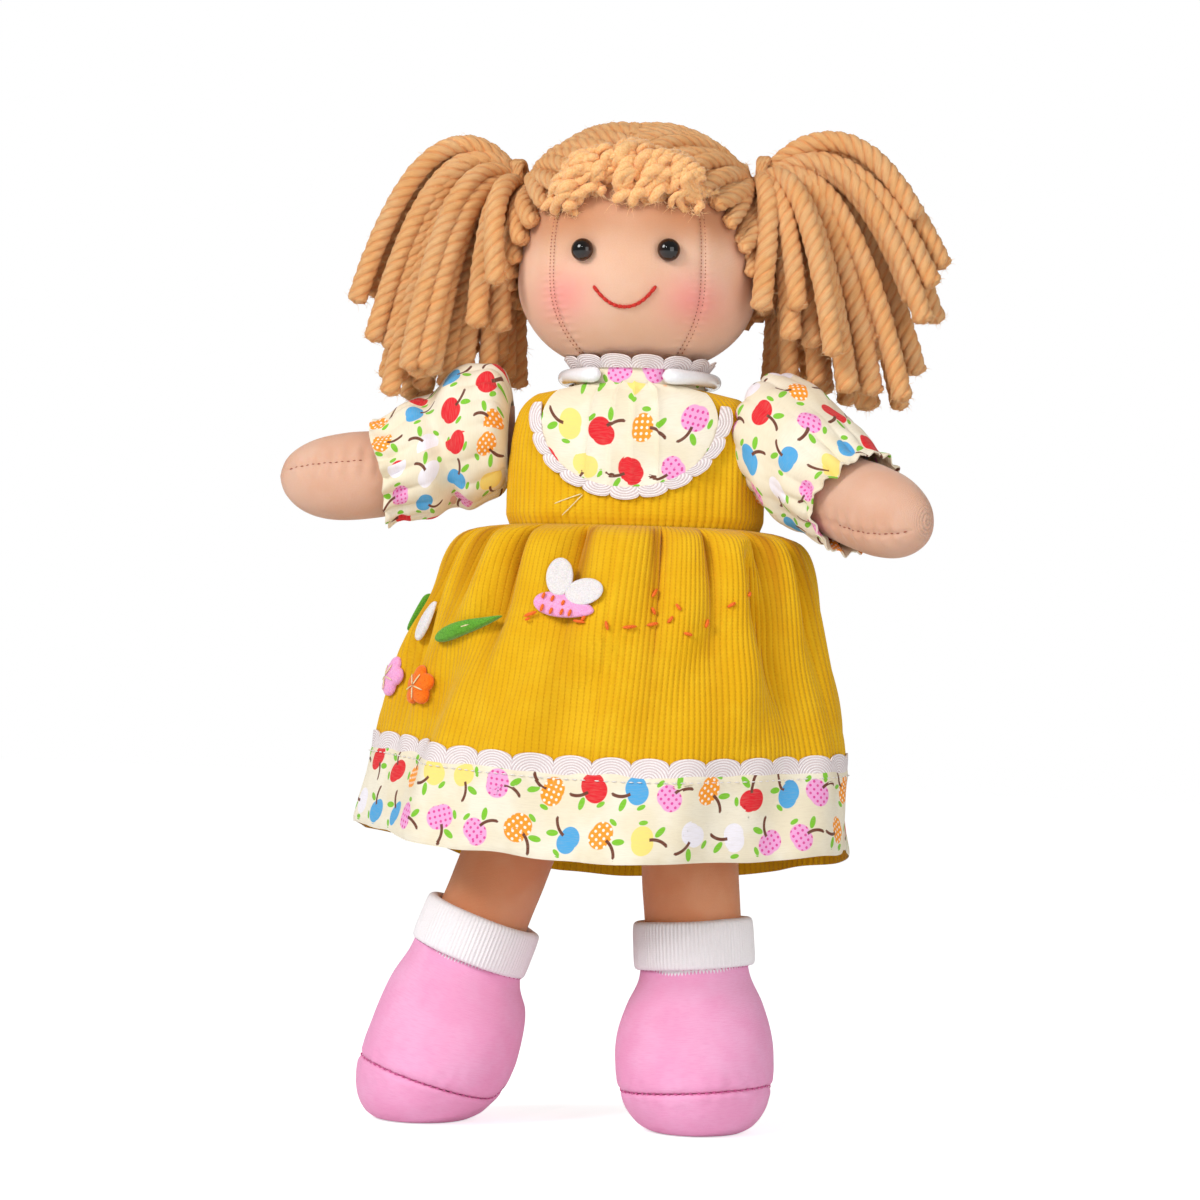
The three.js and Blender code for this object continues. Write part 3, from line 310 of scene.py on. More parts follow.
def fruit_group():
    """Printed fruit: in each cell of a staggered grid, one with a stalk and leaves, turned its own way."""
    tree, web, given, put = effect_group(
        "fruit print", {"Vector": ("Vector", None), "Ground": ("Color", (1, 1, 1, 1))}, {"Colour": "Color"},
    )
    cells = web.vector("SCALE", given["Vector"])
    cells.node.inputs["Scale"].default_value = 1 / FRUIT_PITCH
    across, along, _ = web.parts(cells)
    row = web.maths("FLOOR", along)
    stagger = web.maths("MULTIPLY", web.maths("FLOORED_MODULO", row, 2.0), 0.5)
    shifted = web.maths("ADD", across, stagger)
    column = web.maths("FLOOR", shifted)
    cell = web.joined(column, row, 3.7)
    chance = web.add("TexWhiteNoise", cell, noise_dimensions="3D").outputs["Color"]
    kind, angle, jitter = web.parts(chance)
    middle = web.joined(
        web.maths("SUBTRACT", web.maths("SUBTRACT", shifted, column), 0.5),
        web.maths("SUBTRACT", web.maths("SUBTRACT", along, row), 0.5),
    )
    turned = web.add("VectorRotate", rotation_type="Z_AXIS")
    web.feed(turned.inputs["Vector"], middle)
    web.feed(turned.inputs["Angle"], web.maths("MULTIPLY", angle, TURN))
    to_mm = (FRUIT_PITCH / MM, FRUIT_PITCH / MM, 0)
    local = web.vector("MULTIPLY_ADD", turned.outputs[0], to_mm, (0, 2.0, 0))
    x, y, _ = web.parts(local)

    # Two round cheeks that meet in a dip at the stalk
    cheek = web.maths("SUBTRACT", web.maths("ABSOLUTE", x), 1.0)
    from_cheek = web.vector("LENGTH", web.joined(cheek, y))
    size = web.maths("MULTIPLY_ADD", jitter, 0.5, 3.4)
    body = web.between(web.maths("SUBTRACT", from_cheek, size), 0.15, -0.15)
    spots = web.vector("FRACTION", web.vector("MULTIPLY_ADD", local, (0.55, 0.55, 0), (0.5, 0.7, 0)))
    spot = web.between(web.vector("DISTANCE", spots, (0.5, 0.5, 0)), 0.3, 0.2)

    # The stalk is an arc that starts in the dip
    ring = web.maths("SUBTRACT", web.vector("DISTANCE", web.joined(x, y), (6.6, 2.6, 0)), 6.6)
    thin = web.between(web.maths("ABSOLUTE", ring), 0.62, 0.42)
    low = web.between(y, 2.2, 2.5)
    high = web.between(y, 8.4, 8.0)
    near = web.between(x, 3.2, 3.0)
    stalk = web.maths("MULTIPLY", web.maths("MULTIPLY", thin, low), web.maths("MULTIPLY", high, near))

    def leaf(place, lean, length, width):
        leant = web.add("VectorRotate", rotation_type="Z_AXIS")
        web.feed(leant.inputs["Vector"], web.vector("SUBTRACT", local, place))
        leant.inputs["Angle"].default_value = lean
        squeezed = web.vector("DIVIDE", leant.outputs[0], (length, width, 1))
        return web.between(web.vector("LENGTH", squeezed), 1.08, 0.92)

    leaves = web.maths("MAXIMUM", leaf((-2.0, 6.0, 0), 0.9, 2.1, 1.0), leaf((-5.6, 0.6, 0), 1.6, 1.5, 0.75))

    def pick(index):
        share = 1 / len(FRUIT_COLOURS)
        above = web.maths("GREATER_THAN", kind, index * share)
        below = web.maths("LESS_THAN", kind, (index + 1) * share)
        return web.maths("MULTIPLY", above, below)

    colour = None
    for index, shade in enumerate(FRUIT_COLOURS):
        colour = dye(shade) if colour is None else web.mixed(pick(index), colour, dye(shade))
    white_spots = web.maths("MULTIPLY", spot, pick(3))
    pink_spots = web.maths("MULTIPLY", spot, pick(4))
    colour = web.mixed(white_spots, colour, dye("FFF6E6"))
    colour = web.mixed(pink_spots, colour, dye("E0489C"))
    printed = web.mixed(leaves, given["Ground"], dye(LEAF_GREEN))
    printed = web.mixed(body, printed, colour)
    printed = web.mixed(stalk, printed, dye(STALK_BROWN))
    web.feed(put["Colour"], printed)
    return tree


def wool_group():
    """Plied wool: U counts once round the strand, V is metres along it. Fibres run along each ply."""
    tree, web, given, put = effect_group(
        "plied wool", {"Vector": ("Vector", None), "Plies": ("Float", 3.0)},
        {"Groove": "Float", "Fibre": "Float"},
    )
    around, along, _ = web.parts(given["Vector"])
    phase = web.maths("MULTIPLY", web.maths("MULTIPLY", around, given["Plies"]), math.pi)
    lobe = web.maths("ABSOLUTE", web.maths("SINE", phase))
    web.feed(put["Groove"], web.between(lobe, 0.75, 0.0))
    drawn = web.joined(web.maths("MULTIPLY", around, 64.0), web.maths("MULTIPLY", along, 330.0))
    web.feed(put["Fibre"], web.clouds(drawn, 1.0, 4.0, 0.75))
    return tree


def nap_group():
    """Felt or fluff: short fibres lying every way."""
    tree, web, given, put = effect_group(
        "felt nap", {"Vector": ("Vector", None), "Fineness": ("Float", 2200.0)},
        {"Height": "Float"},
    )
    scaled = web.vector("MULTIPLY", given["Vector"], web.evenly(given["Fineness"]))
    fluff = web.clouds(scaled, 1.0, 4.0, 0.75)
    web.feed(put["Height"], fluff)
    return tree


DYED, WEAVE, KNIT, WALES = dyed_cloud_group(), weave_group(), knit_group(), wale_group()
FRUIT, WOOL, NAP = fruit_group(), wool_group(), nap_group()
FLAT_MAP = "flat"


class Finish:
    """A material in the making: its web, its Principled shader and where its patterns are read."""

    def __init__(self, name, roughness, sheen=0.0, specular=0.5, coat=0.0):
        self.material = bpy.data.materials.new(name)
        self.material.use_nodes = True
        self.web = Web(self.material.node_tree)
        self.shader = self.material.node_tree.nodes["Principled BSDF"]
        self.shader.inputs["Roughness"].default_value = roughness
        self.shader.inputs["Specular IOR Level"].default_value = specular
        self.shader.inputs["Sheen Weight"].default_value = sheen
        self.shader.inputs["Sheen Roughness"].default_value = 0.4
        self.shader.inputs["Coat Weight"].default_value = coat
        self.flat = self.web.add("UVMap", uv_map=FLAT_MAP).outputs[0]
        self.place = self.web.add("TexCoord").outputs["Object"]

    def dyed(self, light, faded, patch):
        """The colour light, gone to faded in patches."""
        made = self.web.effect(DYED, Vector=self.place, Colour=light, Faded=dye(faded), Patch_size=patch)
        return made.outputs[0]

    def colour(self, value):
        self.web.feed(self.shader.inputs["Base Color"], value)

    def glow_through(self, weight, depth_mm):
        """Light that goes in and comes out again nearby, warmer."""
        self.shader.inputs["Subsurface Weight"].default_value = weight
        self.shader.inputs["Subsurface Radius"].default_value = (1.0, 0.5, 0.22)
        self.shader.inputs["Subsurface Scale"].default_value = depth_mm * MM

    def bump(self, height, depth_mm):
        made = self.web.add("Bump")
        made.inputs["Distance"].default_value = depth_mm * MM
        self.web.feed(made.inputs["Height"], height)
        self.web.feed(self.shader.inputs["Normal"], made.outputs[0])


def skin_finish(name, light, faded, blush_and_painted_shade=False):
    made = Finish(name, 0.82, sheen=0.25, specular=0.25)
    web = made.web
    knit = web.effect(KNIT, Vector=made.flat, Pitch=0.00045)
    skin = made.dyed(dye(light), faded, 0.018)
    skin = web.mixed(web.between(knit.outputs["Nap"], 0.62, 0.35, 0.0, 0.22), skin, dye("D99C78"))
    if blush_and_painted_shade:
        blush = web.painted("blush")
        skin = web.mixed(web.maths("MULTIPLY", blush, 0.68), skin, dye("F58E8C"))
        # Painted shade: the forehead under the fringe darkened towards brown.
        shade = web.painted("shade")
        skin = web.mixed(web.maths("MULTIPLY", shade, 0.72), skin, dye("BC7644"))
    made.colour(skin)
    made.bump(knit.outputs["Height"], 0.1)
    made.glow_through(0.25, 2.0)
    return made.material


def corduroy_finish():
    made = Finish("yellow_corduroy", 0.88, sheen=0.15, specular=0.2)
    web = made.web
    wales = web.effect(WALES, Vector=made.flat, Pitch=0.0022)
    cloth = made.dyed(dye("DFAA0A"), "E4B416", 0.012)
    cloth = web.mixed(web.between(wales.outputs["Pile"], 0.6, 0.3, 0.0, 0.4), cloth, dye("E0A206"))
    # Painted shade in the valleys between the wales, dotted along the ground weave.
    cloth = web.mixed(web.maths("MULTIPLY", wales.outputs["Valley"], 0.55), cloth, dye("CC8C04"))
    # Painted shade: the slits between the gathers near the waist darkened towards brown-yellow.
    folded = web.painted("folded")
    made.colour(web.mixed(web.maths("MULTIPLY", folded, 0.85, clamp=True), cloth, dye("A96402")))
    made.bump(wales.outputs["Height"], 0.22)
    return made.material


def print_finish():
    made = Finish("fruit_print", 0.8, sheen=0.1, specular=0.25)
    web = made.web
    weave = web.effect(WEAVE, Vector=made.flat, Pitch=0.00042)
    ground = made.dyed(dye("ECE0C4"), "F2EAD6", 0.015)
    cloth = web.effect(FRUIT, Vector=made.flat, Ground=ground).outputs[0]
    cloth = web.mixed(web.between(weave.outputs["Slub"], 0.6, 0.3, 0.0, 0.12), cloth, dye("C9B79E"))
    made.colour(cloth)
    made.bump(weave.outputs["Height"], 0.06)
    return made.material


def pink_finish():
    made = Finish("pink_cotton", 0.78, sheen=0.12, specular=0.25)
    web = made.web
    weave = web.effect(WEAVE, Vector=made.flat, Pitch=0.0004)
    cloth = made.dyed(dye("F6A6CF"), "F8B2D8", 0.014)
    cloth = web.mixed(web.between(weave.outputs["Slub"], 0.6, 0.3, 0.0, 0.3), cloth, dye("EE8CC0"))
    made.colour(cloth)
    made.bump(weave.outputs["Height"], 0.08)
    return made.material


def rib_knit_finish():
    made = Finish("white_rib_knit", 0.85, sheen=0.15, specular=0.2)
    web = made.web
    knit = web.effect(KNIT, Vector=made.flat, Pitch=0.0006)
    cloth = web.mixed(web.between(knit.outputs["Nap"], 0.6, 0.3, 0.0, 0.35), dye("FBF7F9"), dye("EAE2E8"))
    made.colour(cloth)
    made.bump(knit.outputs["Height"], 0.12)
    return made.material


def lace_finish():
    """Shell braid: V of the map is metres from the middle of each shell, so the cords lie in arcs."""
    made = Finish("white_lace", 0.75, sheen=0.1, specular=0.3)
    web = made.web
    _, out, _ = web.parts(made.flat)
    cords = web.wave(out, 0.00085)
    twist = web.clouds(web.stretched(made.flat, 3000, 900), 1.0, 2.0)
    shade = web.mixed(web.between(cords, 0.1, 0.6), dye("D9C6C6"), dye("F6EFEE"))
    made.colour(web.mixed(web.between(twist, 0.6, 0.35, 0.0, 0.2), shade, dye("CDB9BB")))
    made.bump(web.maths("MULTIPLY_ADD", twist, 0.3, cords), 0.18)
    return made.material


def wool_finish(name, light, deep, plies):
    made = Finish(name, 0.9, sheen=0.12, specular=0.06)
    web = made.web
    wool = web.effect(WOOL, Vector=made.flat, Plies=plies)
    yarn = made.dyed(light, "FFCD92", 0.01)
    yarn = web.mixed(web.between(wool.outputs["Fibre"], 0.6, 0.32, 0.0, 0.36), yarn, deep)
    # Painted shade: the grooves between the plies darkened towards the deep colour.
    yarn = web.mixed(web.maths("MULTIPLY", wool.outputs["Groove"], 0.36), yarn, deep)
    made.colour(yarn)
    made.bump(web.maths("MULTIPLY_ADD", wool.outputs["Groove"], -0.7, wool.outputs["Fibre"]), 0.7)
    return made.material


def felt_finish(name, light, deep, fineness=2200.0):
    made = Finish(name, 0.95, sheen=0.3, specular=0.15)
    web = made.web
    nap = web.effect(NAP, Vector=made.place, Fineness=fineness)
    made.colour(web.mixed(web.between(nap.outputs["Height"], 0.62, 0.34, 0.0, 0.8), dye(light), dye(deep)))
    made.bump(nap.outputs["Height"], 0.25)
    made.glow_through(0.2, 0.8)
    return made.material


def thread_finish(name, light, deep):
    made = Finish(name, 0.6, sheen=0.1, specular=0.35)
    web = made.web
    strands = web.clouds(web.stretched(made.place, 4200, 4200, 4200), 1.0, 2.0)
    made.colour(web.mixed(web.between(strands, 0.35, 0.65), dye(deep), dye(light)))
    made.bump(strands, 0.08)
    return made.material


def plastic_finish(name, colour, roughness, coat):
    made = Finish(name, roughness, specular=0.5, coat=coat)
    web = made.web
    haze = web.clouds(made.place, 900.0, 3.0)
    web.feed(made.shader.inputs["Roughness"], web.between(haze, 0.3, 0.7, roughness * 0.8, roughness * 1.3))
    made.colour(web.mixed(web.between(haze, 0.3, 0.7, 0.0, 0.06), colour, dye("8A8A8A")))
    return made.material


def eye_finish():
    """Black bead with a brown glint at its rim, where V of the map starts."""
    made = Finish("black_plastic", 0.04, specular=0.42)
    web = made.web
    _, up, _ = web.parts(made.flat)
    made.colour(web.mixed(web.between(up, 0.001, 0.0034), dye("3A1C0E"), dye("060403")))
    return made.material


GROUND = {
    # One jersey in three tones, as lit and shaded copies: the face lightest, the arms and body a little
    # darker, and the legs darker and more orange still, as painted shade under the skirt.
    "skin": skin_finish("skin_jersey", "DAA98E", "E0B69E"),
    "leg": skin_finish("leg_jersey_painted_shade", "E2956A", "E8A47C"),
    "face": skin_finish("face_jersey", "E8BA9C", "EDC4A9", blush_and_painted_shade=True),
    "corduroy": corduroy_finish(),
    "print": print_finish(),
    "pink": pink_finish(),
    "rib": rib_knit_finish(),
    "lace": lace_finish(),
    "wool": wool_finish("peach_wool", dye("FFC482"), dye("EE7C32"), 4.0),
    "fluff": felt_finish("fringe_wool", "FFCB90", "F2A662", 1500.0),
    "fibre": felt_finish("loose_wool", "FFD5A2", "F8BA7C", 1500.0),
    "eye": eye_finish(),
    "clip": plastic_finish("white_plastic", dye("F2F2F6"), 0.18, 0.6),
    "red": thread_finish("red_thread", "DE3324", "A81C14"),
    "orange": thread_finish("orange_thread", "FF7A1E", "D9540C"),
    "brown": thread_finish("seam_thread", "B8694E", "843C2A"),
    "rose": thread_finish("rose_thread", "E56AA8", "C94E90"),
    "cream": thread_finish("cream_thread", "F6EBC0", "D8C48A"),
    "white": thread_finish("white_thread", "FBF6F2", "D8D0CE"),
    "pink_felt": felt_finish("pink_felt", "F8B4DE", "E88FC6"),
    "white_felt": felt_finish("white_felt", "EFEAE9", "D6CFCE"),
    "green_felt": felt_finish("green_felt", "6DB23A", "3F7E22"),
    "orange_felt": felt_finish("orange_felt", "FF7F1E", "E35E0C"),
}


# Meshes: nearly every piece starts as a grid whose corners are moved to where the cloth is

def moved_grid(columns, rows, place, width, length, weld=True):
    """A bmesh grid with corner (s, t) at place(s, t), and a flat map width by length millimetres."""
    mesh = bmesh.new()
    flat = mesh.loops.layers.uv.new(FLAT_MAP)
    bmesh.ops.create_grid(mesh, x_segments=columns, y_segments=rows, size=0.5, calc_uvs=True)
    for face in mesh.faces:
        for loop in face.loops:
            s, t = loop.vert.co.x + 0.5, loop.vert.co.y + 0.5
            loop[flat].uv = (s * width * MM, t * length * MM)
    for corner in mesh.verts:
        corner.co = place(corner.co.x + 0.5, corner.co.y + 0.5)
    if weld:
        bmesh.ops.remove_doubles(mesh, verts=mesh.verts, dist=0.002)
    return mesh


def poured(target, source):
    """Adds one bmesh to another."""
    scratch = bpy.data.meshes.new("scratch")
    source.to_mesh(scratch)
    source.free()
    target.from_mesh(scratch)
    bpy.data.meshes.remove(scratch)


def gathered(parts):
    """All the parts in one bmesh."""
    whole = bmesh.new()
    whole.loops.layers.uv.new(FLAT_MAP)
    for part in parts:
        poured(whole, part)
    return whole


def mapped(mesh, formula):
    """Moves each corner of the flat map to formula(where the corner is, where the map has it)."""
    flat = mesh.loops.layers.uv[FLAT_MAP]
    for face in mesh.faces:
        for loop in face.loops:
            loop[flat].uv = formula(loop.vert.co, loop[flat].uv)


def thickened(mesh, thickness):
    """Gives a sheet its thickness; its rims stay crisp."""
    bmesh.ops.solidify(mesh, geom=mesh.faces[:], thickness=thickness)
    for edge in mesh.edges:
        if edge.is_manifold and edge.calc_face_angle() > 1.2:
            edge.smooth = False


def piece(name, mesh, ground, body, slot, replaces=()):
    """Makes the bmesh an object of that finish, in metres, and lets it ride on its body."""
    mesh.transform(Matrix.Scale(MM, 4) @ Matrix.Translation(DOLL_MIDDLE))
    data = bpy.data.meshes.new(name)
    mesh.to_mesh(data)
    mesh.free()
    data.polygons.foreach_set("use_smooth", [True] * len(data.polygons))
    data.materials.append(GROUND[ground])
    made = bpy.data.objects.new(name, data)
    scene.collection.objects.link(made)
    if body:
        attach(made, body)
    if replaces:
        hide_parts(*replaces)
    return made


def cloth(made, width, length, held, rests_on=(), with_pieces=()):
    """Takes a sheet, its flat size in millimetres and what it lies on, but records nothing."""
    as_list(rests_on)
    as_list(with_pieces)


def signed_power(value, power):
    return math.copysign(abs(value) ** power, value)


def superellipse(angle, power):
    across, up = math.cos(angle), math.sin(angle)
    reach = (abs(across) ** power + abs(up) ** power) ** (-1 / power)
    return across * reach, up * reach


def polar(angle, reach, height=0.0):
    """The point that far from the upright axis, in that direction."""
    return Vector((reach * math.cos(angle), reach * math.sin(angle), height))


def fade(value, low, high):
    """0 below low, 1 above high and smooth between."""
    share = min(max((value - low) / (high - low), 0), 1)
    return share * share * (3 - 2 * share)


def hump(value, middle, half):
    """A smooth bump of height 1."""
    return math.exp(-((value - middle) / half) ** 2)


def ripple(place, size, seed=0.0):
    """Smooth noise from -1 to 1, with features about size across."""
    return noise.noise(Vector(place) / size + Vector((seed, seed * 1.7, seed * 0.3)))


def along_table(rows, share):
    """The table's columns at a share, on a smooth curve through its rows."""
    share = min(max(share, rows[0][0]), rows[-1][0])
    index = max(i for i in range(len(rows) - 1) if rows[i][0] <= share)
    here, there = rows[index], rows[index + 1]
    before = rows[index - 1] if index else here
    after = rows[index + 2] if index + 2 < len(rows) else there
    span = there[0] - here[0]
    t = (share - here[0]) / span
    found = []
    for column in range(1, len(here)):
        slope_here = (there[column] - before[column]) / max(there[0] - before[0], 1e-6) * span
        slope_there = (after[column] - here[column]) / max(after[0] - here[0], 1e-6) * span
        found.append(
            (2 * t ** 3 - 3 * t ** 2 + 1) * here[column] + (t ** 3 - 2 * t ** 2 + t) * slope_here
            + (3 * t ** 2 - 2 * t ** 3) * there[column] + (t ** 3 - t ** 2) * slope_there
        )
    return found


def distances(points):
    """How far along the path each of its points lies."""
    run = [0.0]
    for before, after in zip(points, points[1:]):
        run.append(run[-1] + (after - before).length)
    return run


def carried(points):
    """Frames along a path: at each point, the tangent and two directions square to it that don't spin."""
    count = len(points)
    tangents = [(points[min(i + 1, count - 1)] - points[max(i - 1, 0)]).normalized() for i in range(count)]
    side = tangents[0].orthogonal().normalized()
    frames = []
    for tangent in tangents:
        side = (side - tangent * side.dot(tangent)).normalized()
        frames.append((tangent, side, tangent.cross(side)))
    return frames


def tube_along(points, radius, sides, lobes=0, lobe_depth=0.0, twist=0.0):
    """A closed tube along the points. radius(share) is its half width; lobes stand out round it and
    twist along it, once round each twist millimetres."""
    frames = carried(points)
    steps = len(points) - 1
    run = distances(points)

    def place(s, t):
        index = round(t * steps)
        _, wide, tall = frames[index]
        angle = TURN * s + (TURN * run[index] / twist if twist else 0)
        half = radius(index / steps)
        if lobes:
            half *= 1 - lobe_depth * (1 - abs(math.sin(lobes * math.pi * s)))
        return points[index] + wide * (half * math.cos(angle)) + tall * (half * math.sin(angle))

    return moved_grid(sides, steps, place, 1 / MM, run[-1])


def round_ends(share, end_share):
    """A half width share that rounds off towards both ends."""
    edge = min(share, 1 - share) / end_share
    return 1.0 if edge >= 1 else math.sqrt(max(1 - (1 - edge) ** 2, 0))


def bezier(a, b, c, steps):
    points = []
    for i in range(steps + 1):
        t = i / steps
        points.append(a * (1 - t) ** 2 + b * 2 * t * (1 - t) + c * t * t)
    return points


def stitch(start, end, outward, radius, bulge=0.3, sides=6, steps=4):
    """One short stitch of thread: it rises out of the cloth and goes back in."""
    middle = (start + end) / 2 + outward * bulge
    points = bezier(start, middle * 2 - (start + end) / 2, end, steps)
    return tube_along(points, lambda share: radius * round_ends(share, 0.45), sides)


# Forms of the CAD solids, in millimetres

Bag = namedtuple("Bag", "centre half_width half_depth above below squareness plan")
TORSO = Bag(Vector((0, 0, 198)), 42, 27, 51, 48, 5.5, 2.6)
HEAD = Bag(Vector((-1, 0, 288.4)), 41, 38, 47, 32, 2.2, 2.15)
HEAD_PIVOT = Vector((0, 0, 251))
HEAD_LEAN = Matrix.Rotation(math.radians(-1), 4, "Y")
HEAD_TILT = Matrix.Translation(HEAD_PIVOT) @ HEAD_LEAN @ Matrix.Translation(-HEAD_PIVOT)
SHOULDER_HEIGHT, SHOULDER_OUT = 231, 43.6
HIP_HEIGHT, HIP_OUT, ANKLE_HEIGHT = 148, 18.5, 56
ARM_SWING = {1: 40, -1: 2}
ARM_DROP = {1: 18, -1: 9.5}
LEG_SPREAD = {1: 4.5, -1: 20}
UP = Vector((0, 0, 1))


def bag_point(bag, around, rise, grow=0.0):
    share, height = superellipse(rise, bag.squareness)
    x, y = superellipse(around, bag.plan)
    reach = (bag.below if height < 0 else bag.above) + grow
    return bag.centre + Vector((
        x * (bag.half_width + grow) * share, y * (bag.half_depth + grow) * share, height * reach,
    ))


def bag_surface(bag, x, z, grow=0.0, front=True):
    lift = min(abs(z) / ((bag.below if z < 0 else bag.above) + grow), 1)
    share = (1 - lift ** bag.squareness) ** (1 / bag.squareness)
    across = min(abs(x) / max((bag.half_width + grow) * share, 1e-6), 1)
    depth = (bag.half_depth + grow) * share * (1 - across ** bag.plan) ** (1 / bag.plan)
    return bag.centre + Vector((x, -depth if front else depth, z))


def on_head(direction, grow):
    """The point of the head, grown, in that direction from its centre."""
    wide, deep = HEAD.half_width + grow, HEAD.half_depth + grow
    tall = (HEAD.below if direction.z < 0 else HEAD.above) + grow
    level = (abs(direction.x) / wide) ** HEAD.plan + (abs(direction.y) / deep) ** HEAD.plan
    size = level ** (HEAD.squareness / HEAD.plan) + (abs(direction.z) / tall) ** HEAD.squareness
    return HEAD.centre + direction * size ** (-1 / HEAD.squareness)


def on_face(x, z, grow=0.0):
    return bag_surface(HEAD, x, z, grow)


def face_out(x, z):
    here = on_face(x, z)
    return (on_face(x + 0.5, z) - here).cross(on_face(x, z + 0.5) - here).normalized()


# Head

EYE_OUT, EYE_UP = 14.5, 6.2
MOUTH_HALF, MOUTH_DROP, MOUTH_UP = 10.4, 6.7, -6
CHEEKS = ((-21.5, -9), (22.5, -10))
CHEEK_WIDE, CHEEK_TALL = 9.6, 8.4
FACE_SEAM_OUT, FACE_SEAM_TOP, FACE_SEAM_FOOT = 25.5, 62, 40


def face_seam(z):
    """How far from the middle the face's seams run at a height from the head's centre."""
    reach = FACE_SEAM_FOOT if z < 0 else FACE_SEAM_TOP
    return FACE_SEAM_OUT * (1 - min(abs(z) / reach, 0.97) ** 2.6)


def head_skin():
    def dent(point):
        x, y, z = point - HEAD.centre
        if y > 0:
            return 0.25 * ripple(point, 14, 2)
        off_seam = abs(abs(x) - face_seam(z))
        depth = 0.7 * hump(off_seam, 0, 0.9) + 0.2 * math.sin(z * 2.6) * hump(off_seam, 1.5, 2.2)
        for side in (-1, 1):
            away = math.hypot(x - side * EYE_OUT, z - EYE_UP)
            depth += 1.5 * hump(away, 0, 5.2)
        return depth + 0.3 * ripple(point, 15, 2)

    def place(s, t):
        point = bag_point(HEAD, TURN * s, (t - 0.5) * math.pi * 0.9999)
        inward = (HEAD.centre - point).normalized()
        return HEAD_TILT @ (point + inward * dent(point))

    mesh = moved_grid(300, 150, place, 255, 150)
    made = piece("head_skin", mesh, "face", "head", "skin_jersey", ("head",))
    made.data.attributes.new("blush", "FLOAT", "POINT")
    made.data.attributes.new("shade", "FLOAT", "POINT")
    blush = made.data.attributes["blush"].data
    shade = made.data.attributes["shade"].data
    untilt = HEAD_TILT.inverted()
    for corner, rouge, dim in zip(made.data.vertices, blush, shade):
        x, y, z = untilt @ (corner.co / MM - DOLL_MIDDLE) - HEAD.centre
        if y < 0:
            spread = (((x - a) / CHEEK_WIDE) ** 2 + ((z - b) / CHEEK_TALL) ** 2 for a, b in CHEEKS)
            rouge.value = min(sum(math.exp(-part) for part in spread), 1)
            # Painted shade under the fringe: none below the eyes' middle, rising to full on the forehead, and
            # weaker at the face's middle.
            dim.value = fade(z, 3, 17) * (0.6 + 0.4 * min(abs(x) / 15, 1))
    return made


def seam_stitches():
    """Two rows of pin-prick stitches along each seam of the face."""
    made = []
    for side in (-1, 1):
        for row in (-0.65, 0.65):
            z = -29.0
            while z < 26:
                x = side * (face_seam(z) + row)
                out = face_out(x, z)
                here = on_face(x, z, -0.32)
                step = on_face(side * (face_seam(z + 0.55) + row), z + 0.55, -0.32)
                made.append(stitch(here, step, out, 0.21, 0.14, 5, 3))
                z += 1.15
    mesh = gathered(made)
    mesh.transform(HEAD_TILT)
    return piece("face_seam_stitches", mesh, "brown", "head", "skin_jersey")


def eye(side_name):
    """A domed bead whose edge sinks into the dimple."""
    side = SIDES[side_name]
    x, z = side * EYE_OUT, EYE_UP
    out = face_out(x, z)
    turn = UP.rotation_difference(out).to_matrix().to_4x4()
    profile = (
        (0.0, -1.6), (1.5, -1.6), (2.8, -1.3), (3.6, -0.7), (3.9, 0.1), (3.75, 0.95), (3.3, 1.8),
        (2.6, 2.5), (1.7, 3.0), (0.8, 3.25), (0.0, 3.3),
    )
    mesh = bmesh.new()
    mesh.loops.layers.uv.new(FLAT_MAP)
    corners = [mesh.verts.new((radius, 0, up)) for radius, up in profile]
    for first, second in zip(corners, corners[1:]):
        mesh.edges.new((first, second))
    bmesh.ops.spin(
        mesh, geom=mesh.verts[:] + mesh.edges[:], cent=(0, 0, 0), axis=(0, 0, 1), angle=TURN, steps=48,
        use_merge=True,
    )
    bmesh.ops.remove_doubles(mesh, verts=mesh.verts, dist=0.002)
    bmesh.ops.recalc_face_normals(mesh, faces=mesh.faces)
    mapped(mesh, lambda corner, _: (0, (corner.z + 0.2) * MM))
    mesh.transform(HEAD_TILT @ Matrix.Translation(on_face(x, z, 0.4)) @ turn)
    return piece(f"eye_bead_{side_name}", mesh, "eye", "head", "black_plastic", (f"eye_{side_name}",))


def mouth():
    """A smile in backstitch, each stitch overlapping the last a little."""
    count = 13
    places = []
    for i in range(count + 1):
        share = 2 * i / count - 1
        places.append((MOUTH_HALF * share, MOUTH_UP - MOUTH_DROP * (1 - abs(share) ** 2.2)))
    made = []
    for (x, z), (x_next, z_next) in zip(places, places[1:]):
        start, end = on_face(x, z, 0.1), on_face(x_next, z_next, 0.1)
        along = (end - start) * 0.12
        out = face_out((x + x_next) / 2, (z + z_next) / 2)
        across = out.cross(end - start).normalized() * 0.18
        for offset in (-1, 1):
            first, last = start - along + across * offset, end + along + across * offset
            made.append(stitch(first, last, out, 0.46, 0.55, 8, 6))
    mesh = gathered(made)
    mesh.transform(HEAD_TILT)
    return piece("smile_stitches", mesh, "red", "head", "red_thread", ("mouth_stitch",))


# Hair

